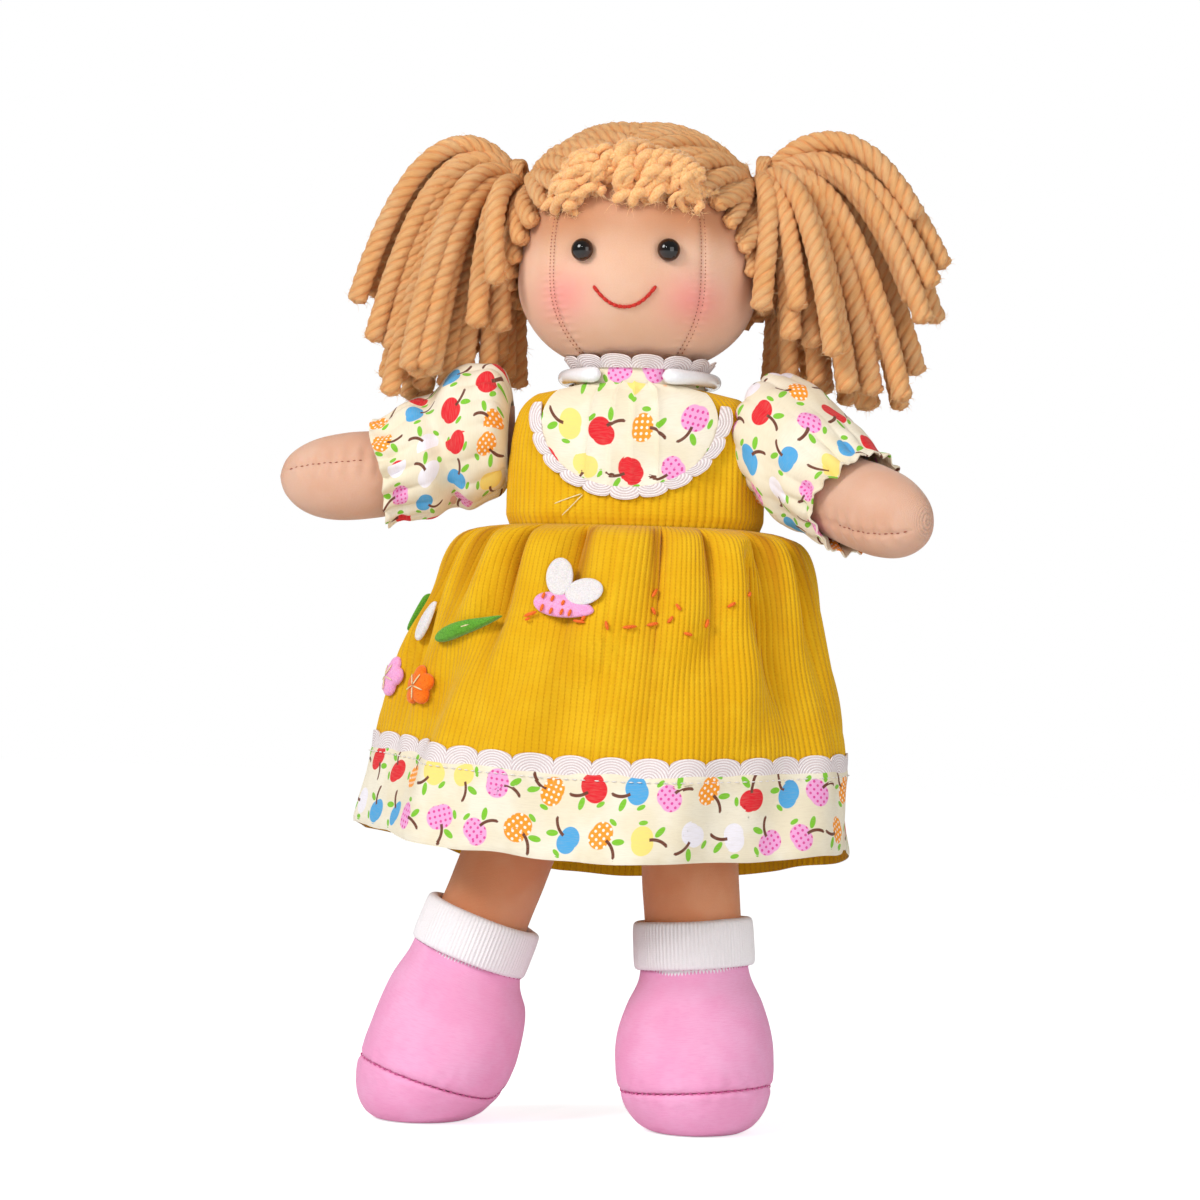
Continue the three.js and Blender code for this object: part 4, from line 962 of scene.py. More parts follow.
TIE_HEIGHT = {1: 35, -1: 34}
BUNCH_OUT = {1: 57, -1: 47}
BUNCH_DROP = {1: 73, -1: 67}
BUNCH_ARCH = {1: 32, -1: 40}
BUNCH_DEPTH, STAND_OFF, TIE_BACK = 24, 5.2, 6
BUNCH_SHARES = (
    (1, -.34, .1, 1), (.96, -.58, -.4, .85), (.9, -.62, .5, .78), (.85, -.86, 0, .65),
    (.78, -1.02, .55, .58), (.74, -1.04, -.6, .52), (.58, -1.08, .1, .42), (.46, -1.02, .7, .35),
    (.42, -1.04, -.75, .3), (.26, -.98, .2, .2), (.14, -.84, -.85, .15), (.12, -.78, .85, .15),
)
OUTER_DROP = {1: 0.08, -1: 0.24}
# Lengths that hang down beside the cheek, seen past the face
INNER_SHARES = (
    (.06, -.92, -.3, .08), (.0, -1.0, -.55, .06), (-.07, -1.04, -.8, .05), (.09, -1.0, .1, .1),
    (-.05, -.85, -.95, .05),
)
PLY_LAY = 16.5
wool_ends = []


def tie_point(side):
    lift = TIE_HEIGHT[side] / 52.4
    cap_half = 46.4 * (1 - lift ** HEAD.squareness) ** (1 / HEAD.squareness)
    return HEAD.centre + Vector((side * (cap_half + 0.4 + STAND_OFF), TIE_BACK, TIE_HEIGHT[side]))


def yarn(points, radius, root_radius, rng, sides=16, plies=4, depth=0.14, fray=3.6):
    """A length of plied wool: thin where it is bound, and rounded and opened a little at its cut end."""
    length = distances(points)[-1]
    end_share = min(fray / length, 0.3)
    start = rng.random() * 40
    swell = rng.uniform(0.93, 1.07)

    def half(share):
        width = root_radius + (radius - root_radius) * fade(share, 0, 0.3)
        width *= swell * (1 + 0.06 * noise.noise(Vector((start + share * length / 5, 0, 0))))
        if share > 1 - end_share:
            left = (1 - share) / end_share
            width *= math.sqrt(max(1 - (1 - left) ** 3, 0)) * (1 + 0.1 * left * (1 - left) * 4)
        if share < 0.012:
            width *= 0.55 + 0.45 * share / 0.012 if share else 0
        return width

    for index in range(2, len(points)):
        share = index / (len(points) - 1)
        along = (points[index] - points[index - 1]).normalized()
        # Fibres stand off the cut end more thickly than off the sides
        for _ in range(9 if share > 1 - 0.7 * end_share else 1):
            wool_ends.append((points[index], along, max(half(share), 0.5)))
    return tube_along(points, half, sides, plies, depth, PLY_LAY)


def spaced(points, gap):
    """The same path with its points gap apart."""
    run = distances(points)
    count = max(int(run[-1] / gap), 4)
    found = []
    index = 0
    for i in range(count + 1):
        target = run[-1] * i / count
        while index < len(points) - 2 and run[index + 1] < target:
            index += 1
        share = (target - run[index]) / max(run[index + 1] - run[index], 1e-9)
        found.append(points[index].lerp(points[index + 1], min(share, 1)))
    return found


def fibres(name, body, anchors, count, longest, seed, radius=0.085):
    """Stray fibres that stand off the wool as thin tapering hairs."""
    rng = random.Random(seed)
    curve = bpy.data.curves.new(name, "CURVE")
    curve.dimensions = "3D"
    curve.bevel_depth = radius * MM
    curve.bevel_resolution = 0
    curve.use_fill_caps = True
    for _ in range(count):
        centre, along, half = rng.choice(anchors)
        side = Vector((rng.gauss(0, 1), rng.gauss(0, 1), rng.gauss(0, 1)))
        side = (side - along * side.dot(along)).normalized()
        start = centre + side * half * 0.86
        reach = longest * rng.uniform(0.35, 1)
        lean = along * rng.uniform(-0.9, 0.9)
        lean += Vector((rng.gauss(0, 0.35), rng.gauss(0, 0.35), rng.gauss(0, 0.35)))
        spline = curve.splines.new("POLY")
        spline.points.add(3)
        for i, point in enumerate(spline.points):
            t = i / 3
            place = start + (side * (t - 0.35 * t * t) + lean * t * t * 0.9) * reach
            point.co = (*((place + DOLL_MIDDLE) * MM), 1)
            point.radius = 1 - 0.85 * t
    loose = bpy.data.objects.new(name, curve)
    scene.collection.objects.link(loose)
    data = bpy.data.meshes.new_from_object(loose.evaluated_get(bpy.context.evaluated_depsgraph_get()))
    bpy.data.objects.remove(loose)
    data.materials.clear()
    data.materials.append(GROUND["fibre"])
    made = bpy.data.objects.new(name, data)
    scene.collection.objects.link(made)
    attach(made, body)
    return made


def bunch(side_name):
    side = SIDES[side_name]
    rng = random.Random(11 + side)
    tie = tie_point(side)
    wool_ends.clear()

    def out(x, y, z):
        return tie + Vector((side * x, y, z))

    strands = []
    for across, up, forward, arch in BUNCH_SHARES + INNER_SHARES:
        for copy in range(3 if across > 0.1 else 1):
            shift = 0 if copy == 0 else 1
            a = across + shift * rng.uniform(-0.24, 0.05)
            u = up + shift * rng.uniform(-0.08, 0.3) - OUTER_DROP[side] * fade(across, 0.6, 1)
            f = forward + shift * rng.uniform(-0.5, 0.5)
            lift = arch + shift * rng.uniform(-0.12, 0.06)
            start = out(STAND_OFF / 2 - 5, -2.6 * f, 1.6 * u)
            half_out = STAND_OFF + BUNCH_OUT[side] * max(a, 0.06) * 0.5
            bend = out(half_out, -BUNCH_DEPTH * f, BUNCH_ARCH[side] * lift)
            end = out(STAND_OFF + BUNCH_OUT[side] * a, -BUNCH_DEPTH * f, BUNCH_DROP[side] * u)
            path = spaced(bezier(start, bend, end, 40), 0.95)
            strands.append(yarn(path, 3.7, 2.0, rng))
    mesh = gathered(strands)
    mesh.transform(HEAD_TILT)
    body = f"bunch_{side_name}"
    made = piece(f"wool_bunch_{side_name}", mesh, "wool", body, "peach_wool", (body,))
    anchors = [(HEAD_TILT @ centre, along, half) for centre, along, half in wool_ends]
    fibres(f"wool_bunch_fluff_{side_name}", body, anchors, 4000, 2.7, 31 + side)
    return made


def hair_tie(side_name):
    """A few turns of the same wool, wound round the bunch's root."""
    side = SIDES[side_name]
    rng = random.Random(5)
    tie = tie_point(side)
    turns, steps = 2.4, 130
    points = []
    for i in range(steps + 1):
        angle = TURN * turns * i / steps
        reach = 7.2 + 0.25 * math.sin(angle * 3)
        along = side * (-1.2 + 2.4 * i / steps)
        points.append(tie + Vector((along, reach * math.cos(angle), reach * math.sin(angle))))
    mesh = yarn(points, 1.55, 1.5, rng)
    mesh.transform(HEAD_TILT)
    body, node = f"bunch_{side_name}", f"hair_tie_{side_name}"
    return piece(f"wool_tie_{side_name}", mesh, "wool", body, "peach_wool", (node,))


def parting_direction(angle):
    return Vector((0, -math.cos(angle) * HEAD.half_depth, math.sin(angle) * HEAD.above)).normalized()


# The hairline of one side, from the forehead's middle down the face's edge and round to the nape
HAIRLINE = (
    (0, 0, -24, 36), (.14, 15, -27, 30), (.28, 28, -26, 19), (.42, 37, -19, 6), (.54, 41, -8, -3),
    (.66, 40, 8, -8), (.78, 33, 22, -13), (.9, 18, 31, -17), (1, 2, 35, -18),
)
PARTING_START, PARTING_END = 56, 196
FROM_PARTING, FROM_HAIRLINE = 19, 17
UNDER_PARTING, UNDER_HAIRLINE = 15, 14
SIDE_DROP = {1: 7, -1: 1}


def slid(start, end, share):
    """A direction between two others, a share of the way round."""
    angle = start.angle(end)
    if angle < 1e-4:
        return end.copy()
    return (start * math.sin(angle * (1 - share)) + end * math.sin(angle * share)) / math.sin(angle)


def cap_length(side, start, grow, bow, radius, rng, sides, plies):
    """One length of the cap, from its start on the head up to the tie."""
    tie = tie_point(side)
    goal = (tie - HEAD.centre - Vector((side * 5, 0, 0))).normalized()
    square = start.cross(goal).normalized()
    steps = 40
    path = []
    for index in range(steps + 1):
        share = index / steps
        direction = (slid(start, goal, share) + square * bow * math.sin(math.pi * share)).normalized()
        path.append(on_head(direction, grow + 0.8 * math.sin(math.pi * share)))
    approach = path[-1] - path[-6]
    ring = Vector((0, approach.y, approach.z)).normalized() * 3.4
    end = tie - Vector((side * 4.6, 0, 0)) - ring
    points = [place.lerp(end, 0.9 * fade(index / steps, 0.8, 1)) for index, place in enumerate(path)]
    return yarn(spaced(points, 1.2), radius, radius * 0.8, rng, sides, plies, 0.16, fray=2.0)


def cap_radius(rng):
    return rng.uniform(3.1, 3.5)


def hair_cap():
    """Lengths of wool that run from the parting and from the hairline over the head, and meet at each tie."""
    rng = random.Random(3)
    wool_ends.clear()
    lengths = []
    for side in (-1, 1):
        starts = []
        for index in range(FROM_PARTING):
            turn = (PARTING_END - PARTING_START) * index / (FROM_PARTING - 1)
            angle = math.radians(PARTING_START + turn)
            starts.append((parting_direction(angle) + Vector((-side * 0.045, 0, 0))).normalized())
        for index in range(FROM_HAIRLINE):
            share = (index + 0.5) / FROM_HAIRLINE
            x, y, z = along_table(HAIRLINE, share)
            starts.append(Vector((side * x, y, z - SIDE_DROP[side] * hump(share, 0.52, 0.14))).normalized())
        for index, start in enumerate(starts):
            grow = 3.1 + 0.7 * (index % 2) + rng.uniform(-0.15, 0.15)
            bow = rng.uniform(-0.05, 0.05)
            lengths.append(cap_length(side, start, grow, bow, cap_radius(rng), rng, 16, 4))
        # A layer under them closes the gaps
        for index in range(UNDER_PARTING):
            turn = (PARTING_END - PARTING_START - 6) * index / (UNDER_PARTING - 1)
            angle = math.radians(PARTING_START + 4 + turn)
            start = (parting_direction(angle) + Vector((side * 0.06, 0, 0))).normalized()
            lengths.append(cap_length(side, start, 1.6, 0, 3.2, rng, 7, 0))
        for index in range(UNDER_HAIRLINE):
            x, y, z = along_table(HAIRLINE, (index + 1) / (UNDER_HAIRLINE + 1))
            start = (Vector((side * x, y, z)).normalized() + Vector((0, 0, 0.05))).normalized()
            lengths.append(cap_length(side, start, 1.6, 0, 3.2, rng, 7, 0))
    mesh = gathered(lengths)
    mesh.transform(HEAD_TILT)
    made = piece("wool_cap", mesh, "wool", "head", "peach_wool", ("hair_cap",))
    anchors = [(HEAD_TILT @ centre, along, half) for centre, along, half in wool_ends if half > 2.4]
    fibres("wool_cap_fluff", "head", anchors, 4200, 2.2, 41)
    return made


FRINGE_CURLS, FRINGE_HALF = 110, 22.5


def fringe():
    """A tuft of teased, crinkled wool that hangs over the forehead."""
    rng = random.Random(9)
    wool_ends.clear()
    curls = []
    for _ in range(FRINGE_CURLS):
        share = rng.uniform(-1, 1)
        layer = rng.random()
        x = FRINGE_HALF * share
        rise = 44.5 - 8 * share ** 2 - 6 * layer
        droop = (14.5 + 5.5 * layer) * (1 - 0.25 * abs(share)) * rng.uniform(0.66, 1.08)
        lean = rng.uniform(-6, 6)
        phase, waves = rng.random() * TURN, rng.uniform(1.3, 2.6)
        points = []
        steps = 26
        for i in range(steps + 1):
            t = i / steps
            bulge = (3.2 + 5.2 * (1 - layer)) * math.sin(math.pi * min(t * 1.1, 1)) + 1.6
            turn = phase + TURN * waves * t
            wiggle = 2.1 * fade(t, 0, 0.2)
            points.append(on_face(
                x * (0.92 + 0.16 * t) + lean * t + wiggle * math.cos(turn),
                min(rise - droop * t + wiggle * 0.5 * math.sin(turn), 45),
                bulge + wiggle * math.sin(turn),
            ))
        path = spaced(points, 0.9)
        curls.append(yarn(path, rng.uniform(1.1, 2.2), 1.2, rng, 10, 2, 0.16, fray=3.5))
    mesh = gathered(curls)
    for corner in mesh.verts:
        corner.co += noise.noise_vector(corner.co / 1.5) * 0.42
    mesh.transform(HEAD_TILT)
    made = piece("fringe_curls", mesh, "fluff", "head", "peach_wool", ("fringe",))
    anchors = [(HEAD_TILT @ centre, along, half) for centre, along, half in wool_ends]
    fibres("fringe_fluff", "head", anchors, 4600, 3.6, 51, 0.12)
    return made


# Body, neck and dress top

BODICE_GROW = 1.9
WALE = 2.2
BODICE_WALES = 107
BODICE_LOW, BODICE_HIGH, BODICE_CLIMB = 0.104, math.radians(50), 0.84
NECK_HOLE_RADIUS, NECK_HOLE_HEIGHT = 22.9, 250.6
ARMHOLE_OUT, ARMHOLE_DEEP, ARMHOLE_TALL = 39, 11, 15


def torso_skin():
    mesh = moved_grid(96, 64, lambda s, t: bag_point(TORSO, TURN * s, (t - 0.5) * math.pi * 0.9999), 220, 200)
    return piece("body_skin", mesh, "skin", "body", "skin_jersey", ("torso",))


def neck_skin():
    profile = (
        (0, 0, 246.2), (.2, 13, 246.6), (.35, 18.4, 248.6), (.5, 18.9, 251), (.8, 18.9, 255),
        (.9, 17, 256), (1, 0, 256),
    )

    def place(s, t):
        radius, height = along_table(profile, t)
        return polar(TURN * s, radius, height)

    return piece("neck_skin", moved_grid(64, 24, place, 118, 30), "skin", "neck", "skin_jersey", ("neck",))


def rib_wave(phase):
    """The outline of one wale, 0 in its valley and 1 on top."""
    return abs(math.sin(math.pi * phase)) ** 0.55


def bodice_skin(around, t, grow=0.0):
    """The dress top without its ribs: around is the angle, t runs from the waist seam to the neck hole."""
    climb = min(t / BODICE_CLIMB, 1)
    rolled = 1.7 * (1 - fade(t, 0, 0.07)) if grow == 0 else 0
    rise = BODICE_LOW + (BODICE_HIGH - BODICE_LOW) * climb
    shoulder = bag_point(TORSO, around, rise, BODICE_GROW + grow - rolled)
    shoulder.z -= rolled
    if t > BODICE_CLIMB:
        neck = polar(around, NECK_HOLE_RADIUS, NECK_HOLE_HEIGHT + grow)
        shoulder = shoulder.lerp(neck, fade(t, BODICE_CLIMB, 2 - BODICE_CLIMB) * 2)
    x, z = shoulder.x, shoulder.z
    if shoulder.y < 0:
        shoulder.y += 1.2 * hump(x, 30, 4.5) * hump(z, 222, 15) + 0.8 * hump(x, -33, 4) * hump(z, 224, 12)
        shoulder.y -= 1.3 * hump(x, 37, 4) * hump(z, 220, 14)
        shoulder.y -= 0.9 * abs(ripple((x * 0.6, z + 0.5 * abs(x), 0), 9, 5)) * hump(z, 214, 18)
    return shoulder


def bodice_place(s, t):
    """s runs round from the slit at the back."""
    shoulder = bodice_skin(math.pi / 2 + TURN * (0.002 + 0.996 * s), t)
    outward = Vector((shoulder.x, shoulder.y, 0)).normalized()
    return shoulder + outward * (0.34 * (rib_wave(s * BODICE_WALES) - 1))


def bodice():
    mesh = moved_grid(BODICE_WALES * 4, 64, bodice_place, BODICE_WALES * WALE, 62, weld=False)

    def in_armhole(face):
        x, y, z = face.calc_center_median()
        inside = (y / ARMHOLE_DEEP) ** 2 + ((z - SHOULDER_HEIGHT) / ARMHOLE_TALL) ** 2 < 1
        return abs(x) > ARMHOLE_OUT and inside

    bmesh.ops.delete(mesh, geom=[face for face in mesh.faces if in_armhole(face)], context="FACES")
    thickened(mesh, 1.1)
    return piece("dress_top", mesh, "corduroy", "body", "yellow_corduroy", ("bodice",))


def on_bodice(x, z, grow=0.0, front=True):
    return bag_surface(TORSO, x, z - TORSO.centre.z, BODICE_GROW + grow, front)


BIB_TOP, BIB_BOTTOM, BIB_HALF = 244, 215, 31


def bib_edge(share):
    low = BIB_TOP - (BIB_TOP - BIB_BOTTOM) * max(math.sin(math.pi * share), 0) ** 0.8
    return BIB_HALF * math.cos(math.pi * share), low


BIB_PLEATS = (-13, -5.5, 1.5, 10.5)


def on_bodice_front(x, z):
    """The dress top's own (around, t) at a place on its front."""
    half = TORSO.half_width + BODICE_GROW
    across = min(abs(x) / half, 1)
    depth = (1 - across ** TORSO.plan) ** (1 / TORSO.plan)
    around = math.atan2(-depth, math.copysign(across, x))
    lift = min((z - TORSO.centre.z) / (TORSO.above + BODICE_GROW), 1)
    rise = math.atan2(lift, (1 - lift ** TORSO.squareness) ** (1 / TORSO.squareness))
    return around, BODICE_CLIMB * (rise - BODICE_LOW) / (BODICE_HIGH - BODICE_LOW)


def bib():
    """A U of print with small pressed pleats, which goes up over the dress top to the collar."""
    def place(s, t):
        x, low = bib_edge(1 - (0.012 + 0.976 * s))
        around, start = on_bodice_front(x, low)
        climb = start + (0.985 - start) * t
        lift = 0.9
        for pleat in BIB_PLEATS:
            step = x - pleat
            before = 1 if step > 0 else math.exp(step / 0.25)
            lift += 1.1 * math.exp(-max(step, 0) / 2.2) * before * fade(t, 0, 0.08)
        point = bodice_skin(around, climb, lift + 0.001)
        return point + Vector((0, -0.5 * ripple((x, point.z, 0), 9, 8), 0))

    mesh = moved_grid(150, 60, place, 62, 34, weld=False)
    mapped(mesh, lambda corner, _: (corner.x * MM, (corner.z - 0.6 * (corner.y + 26)) * MM))
    thickened(mesh, 0.5)
    return piece("bib_print", mesh, "print", "body", "fruit_print", ("bib",))


# A shell's run on the flat map it starts with
SHELL_WIDTH = 12.5


def shell_strip(count, at, height, base_height):
    """A strip of shell braid: count half-round shells. at(run, up) places a point run shells along."""
    shells = []
    for index in range(count):
        def place(s, t, index=index):
            # s goes over the shell from its left foot to its right, t out from its base line
            angle = math.pi * (1 - s)
            across = 0.5 * math.cos(angle)
            rim = base_height + (height - base_height) * max(math.sin(angle), 0) ** 0.75
            return at(index + 0.5 + across, rim * t)
        shells.append(moved_grid(16, 10, place, SHELL_WIDTH, height, weld=False))
    whole = gathered(shells)
    bmesh.ops.remove_doubles(whole, verts=whole.verts, dist=0.01)
    return whole


def arc_map(mesh, width, height):
    """Maps each shell by how far a point is from the middle of its base, so that its cords lie in arcs."""
    def arc(_, uv):
        s, t = uv.x / (SHELL_WIDTH * MM), uv.y / (height * MM)
        across = 0.5 * math.cos(math.pi * (1 - s)) * width
        up = t * (0.55 + 0.45 * max(math.sin(math.pi * s), 0) ** 0.75) * height
        return across * MM, math.hypot(across * 0.9, up + 0.8) * MM

    mapped(mesh, arc)


def bib_lace():
    count = 11

    def at(run, up):
        x, z = bib_edge(1 - min(max(run / count, 0.0), 1.0))
        away = Vector((x, min(z - 229.5, 0))).normalized()
        reach = up - 0.8
        return on_bodice(x + away.x * reach, z + away.y * reach, 0.75 + 0.35 * math.sin(TURN * run) ** 2)

    mesh = shell_strip(count, at, 4.3, 2.2)
    arc_map(mesh, 7.2, 4.3)
    thickened(mesh, 0.6)
    return piece("bib_shell_lace", mesh, "lace", "body", "white_lace", ("bib_lace",))


def bib_threads():
    """Two loose ends of sewing thread at the bib's lower edge, lying on the corduroy."""
    made = []
    loose_ends = (
        ((-14.5, 213.2), (-19.5, 211.6), (-24.2, 209.6)), ((-14.2, 213), (-18, 209), (-21.4, 205.6)),
    )
    for ends in loose_ends:
        points = [on_bodice(x, z, 0.55) for x, z in ends]
        made.append(tube_along(bezier(*points, 16), lambda share: 0.2 * round_ends(share, 0.05), 6))
    return piece("bib_thread_ends", gathered(made), "cream", "body", "white_lace")


COLLAR_RADIUS, COLLAR_FOOT, COLLAR_TALL = 22.2, 249.6, 7.2


def collar():
    def place(s, t):
        angle = math.pi / 2 + TURN * s
        reach = COLLAR_RADIUS + 0.35 * math.sin(angle * 9) * t + 0.5 * (1 - t) ** 2
        return polar(angle, reach, COLLAR_FOOT + COLLAR_TALL * t)

    mesh = moved_grid(160, 14, place, 140, COLLAR_TALL)
    thickened(mesh, 0.6)
    return piece("collar_print", mesh, "print", "body", "fruit_print", ("collar_band",))


def collar_frill():
    count = 14

    def at(run, up):
        angle = math.pi / 2 + TURN * run / count
        reach = COLLAR_RADIUS + 0.9 + up * 0.62 + 0.4 * math.sin(TURN * run)
        return polar(angle, reach, COLLAR_FOOT + COLLAR_TALL - 0.4 + up * 0.8)

    mesh = shell_strip(count, at, 5.2, 2.2)
    arc_map(mesh, 9.5, 5.2)
    head_room = HEAD_TILT.inverted()
    for corner in mesh.verts:
        local = head_room @ corner.co - HEAD.centre
        surface = on_head(local.normalized(), 0.7) - HEAD.centre
        if local.length < surface.length:
            corner.co = HEAD_TILT @ (HEAD.centre + surface)
    thickened(mesh, 0.5)
    made = piece("collar_shell_frill", mesh, "lace", None, "white_lace", ("collar_frill",))
    foot = (DOLL_MIDDLE + Vector((0, 0, COLLAR_FOOT + COLLAR_TALL - 0.6))) * MM
    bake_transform(made, "body", "neck", start=foot, end=foot + Vector((0, 0, 2.6 * MM)))
    return made


CLIP_RADIUS, CLIP_HEIGHT, CLIP_HALF, CLIP_RUN = 25.5, 253.9, 2.45, 138


def neck_clip():
    points = []
    steps = 110
    opening = math.radians(24)
    for i in range(steps + 1):
        angle = -math.pi / 2 + opening + (TURN - 2 * opening) * i / steps
        points.append(polar(angle, CLIP_RADIUS, CLIP_HEIGHT))

    def half(share):
        from_end = min(share, 1 - share) * CLIP_RUN
        swell = 1 + 0.12 * hump(from_end, 4.5, 3.0)
        return CLIP_HALF * swell * round_ends(share, 0.022)

    mesh = tube_along(points, half, 24)
    return piece("neck_ring_clip", mesh, "clip", "body", "white_plastic", ("neck_clip",))


def back_closing():
    """The placket and the fastener tape under it, down the dress top's back."""
    def strip(width, low, high, lift):
        def place(s, t):
            x = width * (0.5 - s)
            z = low + (high - low) * t
            return on_bodice(x, z, lift + 0.2 * ripple((x, z, 3), 7, 4), False)
        return place

    mesh = moved_grid(20, 60, strip(7, 207, 241, 1.2), 7, 34, weld=False)
    thickened(mesh, 0.6)
    piece("fastener_tape", mesh, "rib", "body", "white_rib_knit", ("back_fastener_tape",))
    mesh = moved_grid(20, 60, strip(11, 207, 241, 3.1), 11, 34, weld=False)
    for corner in mesh.verts:
        corner.co.y += 0.3 * (rib_wave(corner.co.x / WALE) - 1)
    thickened(mesh, 1.2)
    piece("placket", mesh, "corduroy", "body", "yellow_corduroy", ("back_placket",))


# Skirt

SKIRT_WAIST, SKIRT_FOLDS = 203, 18
SKIRT_DROP = 107.5
SKIRT_LENGTH = 118
HEM_HALF_WIDTH, HEM_HALF_DEPTH = 84, 61


def hem_height(angle):
    return 92 + 7 * math.cos(angle) ** 2 - 9 * max(math.sin(angle), 0) - 1.6 * math.cos(angle)


def pleat(angle, down):
    """Gathers, uneven and close at the waist, from -1 in their slits to 1 on top of their round backs."""
    uneven = 0.26 * noise.noise(polar(angle, 2.1, 0.7))
    turns = SKIRT_FOLDS * angle / TURN + uneven
    lean = 0.3 * math.exp(-down / 0.2)
    wave = abs(math.sin(math.pi * (turns + lean * math.sin(TURN * turns) * 0.2)))
    return 2 * wave ** (0.8 + 0.9 * down) - 1


def on_skirt(angle, down, grow=0.0):
    flare = math.sqrt(max(down, 0))
    here = polar(angle, 1)
    fold = noise.noise(here * 2.6 + Vector((0, 0, 4.1)))
    gather = (6.2 + 2.4 * fold) * (1 - math.exp(-down / 0.02)) * math.exp(-down / (0.25 + 0.14 * fold))
    drape = (1.6 + 1.1 * fade(down, 0.25, 0.6)) * down * math.cos(7 * angle + 2.6 * down + 0.6)
    furrow = -6.0 * hump(angle, math.radians(-47 + 16 * down), 0.08) * fade(down, 0.02, 0.12)
    furrow *= 1 - fade(down, 0.32, 0.68)
    slanted = polar(angle + 0.7 * down, 1)
    crease = 6.4 * fade(down, 0.06, 0.4) * (1 - 0.6 * fade(down, 0.65, 0.9))
    crease *= noise.noise(slanted * 3.2 + Vector((0, 0, down * 2.0)))
    wave = 1.6 * fade(down, 0.55, 1) * noise.noise(here * 6 + Vector((0, 0, 7)))
    reach = grow + gather * pleat(angle, down) + drape + furrow + crease + wave
    turned_in = -2.6 * max(1 - down / 0.03, 0) ** 2
    plan = 2.6 - 0.6 * flare

    def half_at(waist, hem):
        return waist + 3.9 + (hem - waist - 3.9) * flare + reach + turned_in

    lift = 1.3 * fade(down, 0.7, 1) * noise.noise(here * 4 + Vector((0, 0, 9)))
    return Vector((
        half_at(TORSO.half_width, HEM_HALF_WIDTH) * signed_power(math.cos(angle), 2 / plan) - 6 * down,
        half_at(TORSO.half_depth, HEM_HALF_DEPTH) * signed_power(math.sin(angle), 2 / plan),
        SKIRT_WAIST + (hem_height(angle) - SKIRT_WAIST) * down + lift,
    ))


# The hem is measured at this many angles, from the front middle round the doll's left, back and right
HEM_SAMPLES = 1440


def hem_angles():
    angles = [-math.pi / 2 + TURN * i / HEM_SAMPLES for i in range(HEM_SAMPLES + 1)]
    return angles, distances([on_skirt(angle, 1) for angle in angles])


hem_turns, hem_run = hem_angles()
HALF_RUN = {1: (0, HEM_SAMPLES // 2), -1: (HEM_SAMPLES // 2, HEM_SAMPLES)}


def angle_along(side, share):
    """The angle a share of the way round that half's hem."""
    first, last = HALF_RUN[side]
    target = hem_run[first] + (hem_run[last] - hem_run[first]) * share
    low, high = first, last
    while high - low > 1:
        middle = (low + high) // 2
        low, high = (middle, high) if hem_run[middle] <= target else (low, middle)
    part = (target - hem_run[low]) / (hem_run[high] - hem_run[low])
    return hem_turns[low] + (hem_turns[high] - hem_turns[low]) * part


def half_length(side):
    first, last = HALF_RUN[side]
    return hem_run[last] - hem_run[first]


LIFT_SHARE = 0.76
BACK_SHARE = 0.34


def lift_weight(x, y, z):
    """How far the skirt follows the leg on its side: not at the waist or middle, mostly over the thigh."""
    most = LIFT_SHARE + (BACK_SHARE - LIFT_SHARE) * fade(y, -15, 35)
    return most * fade(abs(x), 0.5, 16) * fade(SKIRT_WAIST - z, 12, 62)


def follow_leg(made, side_name):
    """The skirt's cloth bends from the body to that side's leg."""
    leg = f"leg_{side_name}"
    pivot = joint_places[f"hip_{side_name}"] * MM
    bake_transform(made, "body", leg, start=pivot + Vector((0, 0, 0.05)), end=pivot - Vector((0, 0, 0.01)))
    weights = made.data.attributes["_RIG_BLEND"]
    for corner, value in zip(made.data.vertices, weights.data):
        local = corner.co / MM - DOLL_MIDDLE
        value.value = lift_weight(*local)
    return made


def skirt_piece(name, mesh, ground, side_name, slot, replaces=()):
    return follow_leg(piece(name, mesh, ground, None, slot, replaces), side_name)


def skirt_half(side_name):
    side = SIDES[side_name]
    wales = round(half_length(side) / WALE)

    # The right half's edges tuck under the left half's
    tuck = 0.006 if side < 0 else 0

    def place(s, t):
        run = s * (1 + 2 * tuck) - tuck
        down = (1 - t) ** 1.12
        rib = 0.32 * (rib_wave(run * wales) - 1) * fade(down, 0.0, 0.03)
        under = 0.5 * fade(abs(run - 0.5), 0.4985, 0.5005) if tuck else 0
        return on_skirt(angle_along(side, run), down, rib - under)

    mesh = moved_grid(wales * 4, 90, place, wales * WALE, SKIRT_LENGTH, weld=False)
    thickened(mesh, 0.9)
    made = skirt_piece(f"skirt_{side_name}", mesh, "corduroy", side_name, "yellow_corduroy", ("skirt",))
    # Painted shade in the slits between the gathers, fading down from the waist.
    folded = made.data.attributes.new("folded", "FLOAT", "POINT")
    for corner, value in zip(made.data.vertices, folded.data):
        x, y, z = corner.co / MM - DOLL_MIDDLE
        down = max((SKIRT_WAIST - z) / SKIRT_DROP, 0)
        angle = math.atan2(y / TORSO.half_depth, (x + 6 * down) / TORSO.half_width)
        value.value = max(0.15 - pleat(angle, down), 0) * math.exp(-down / 0.24) * fade(down, 0, 0.02)
    return made


BAND, TRIM = 27.4, 5.2


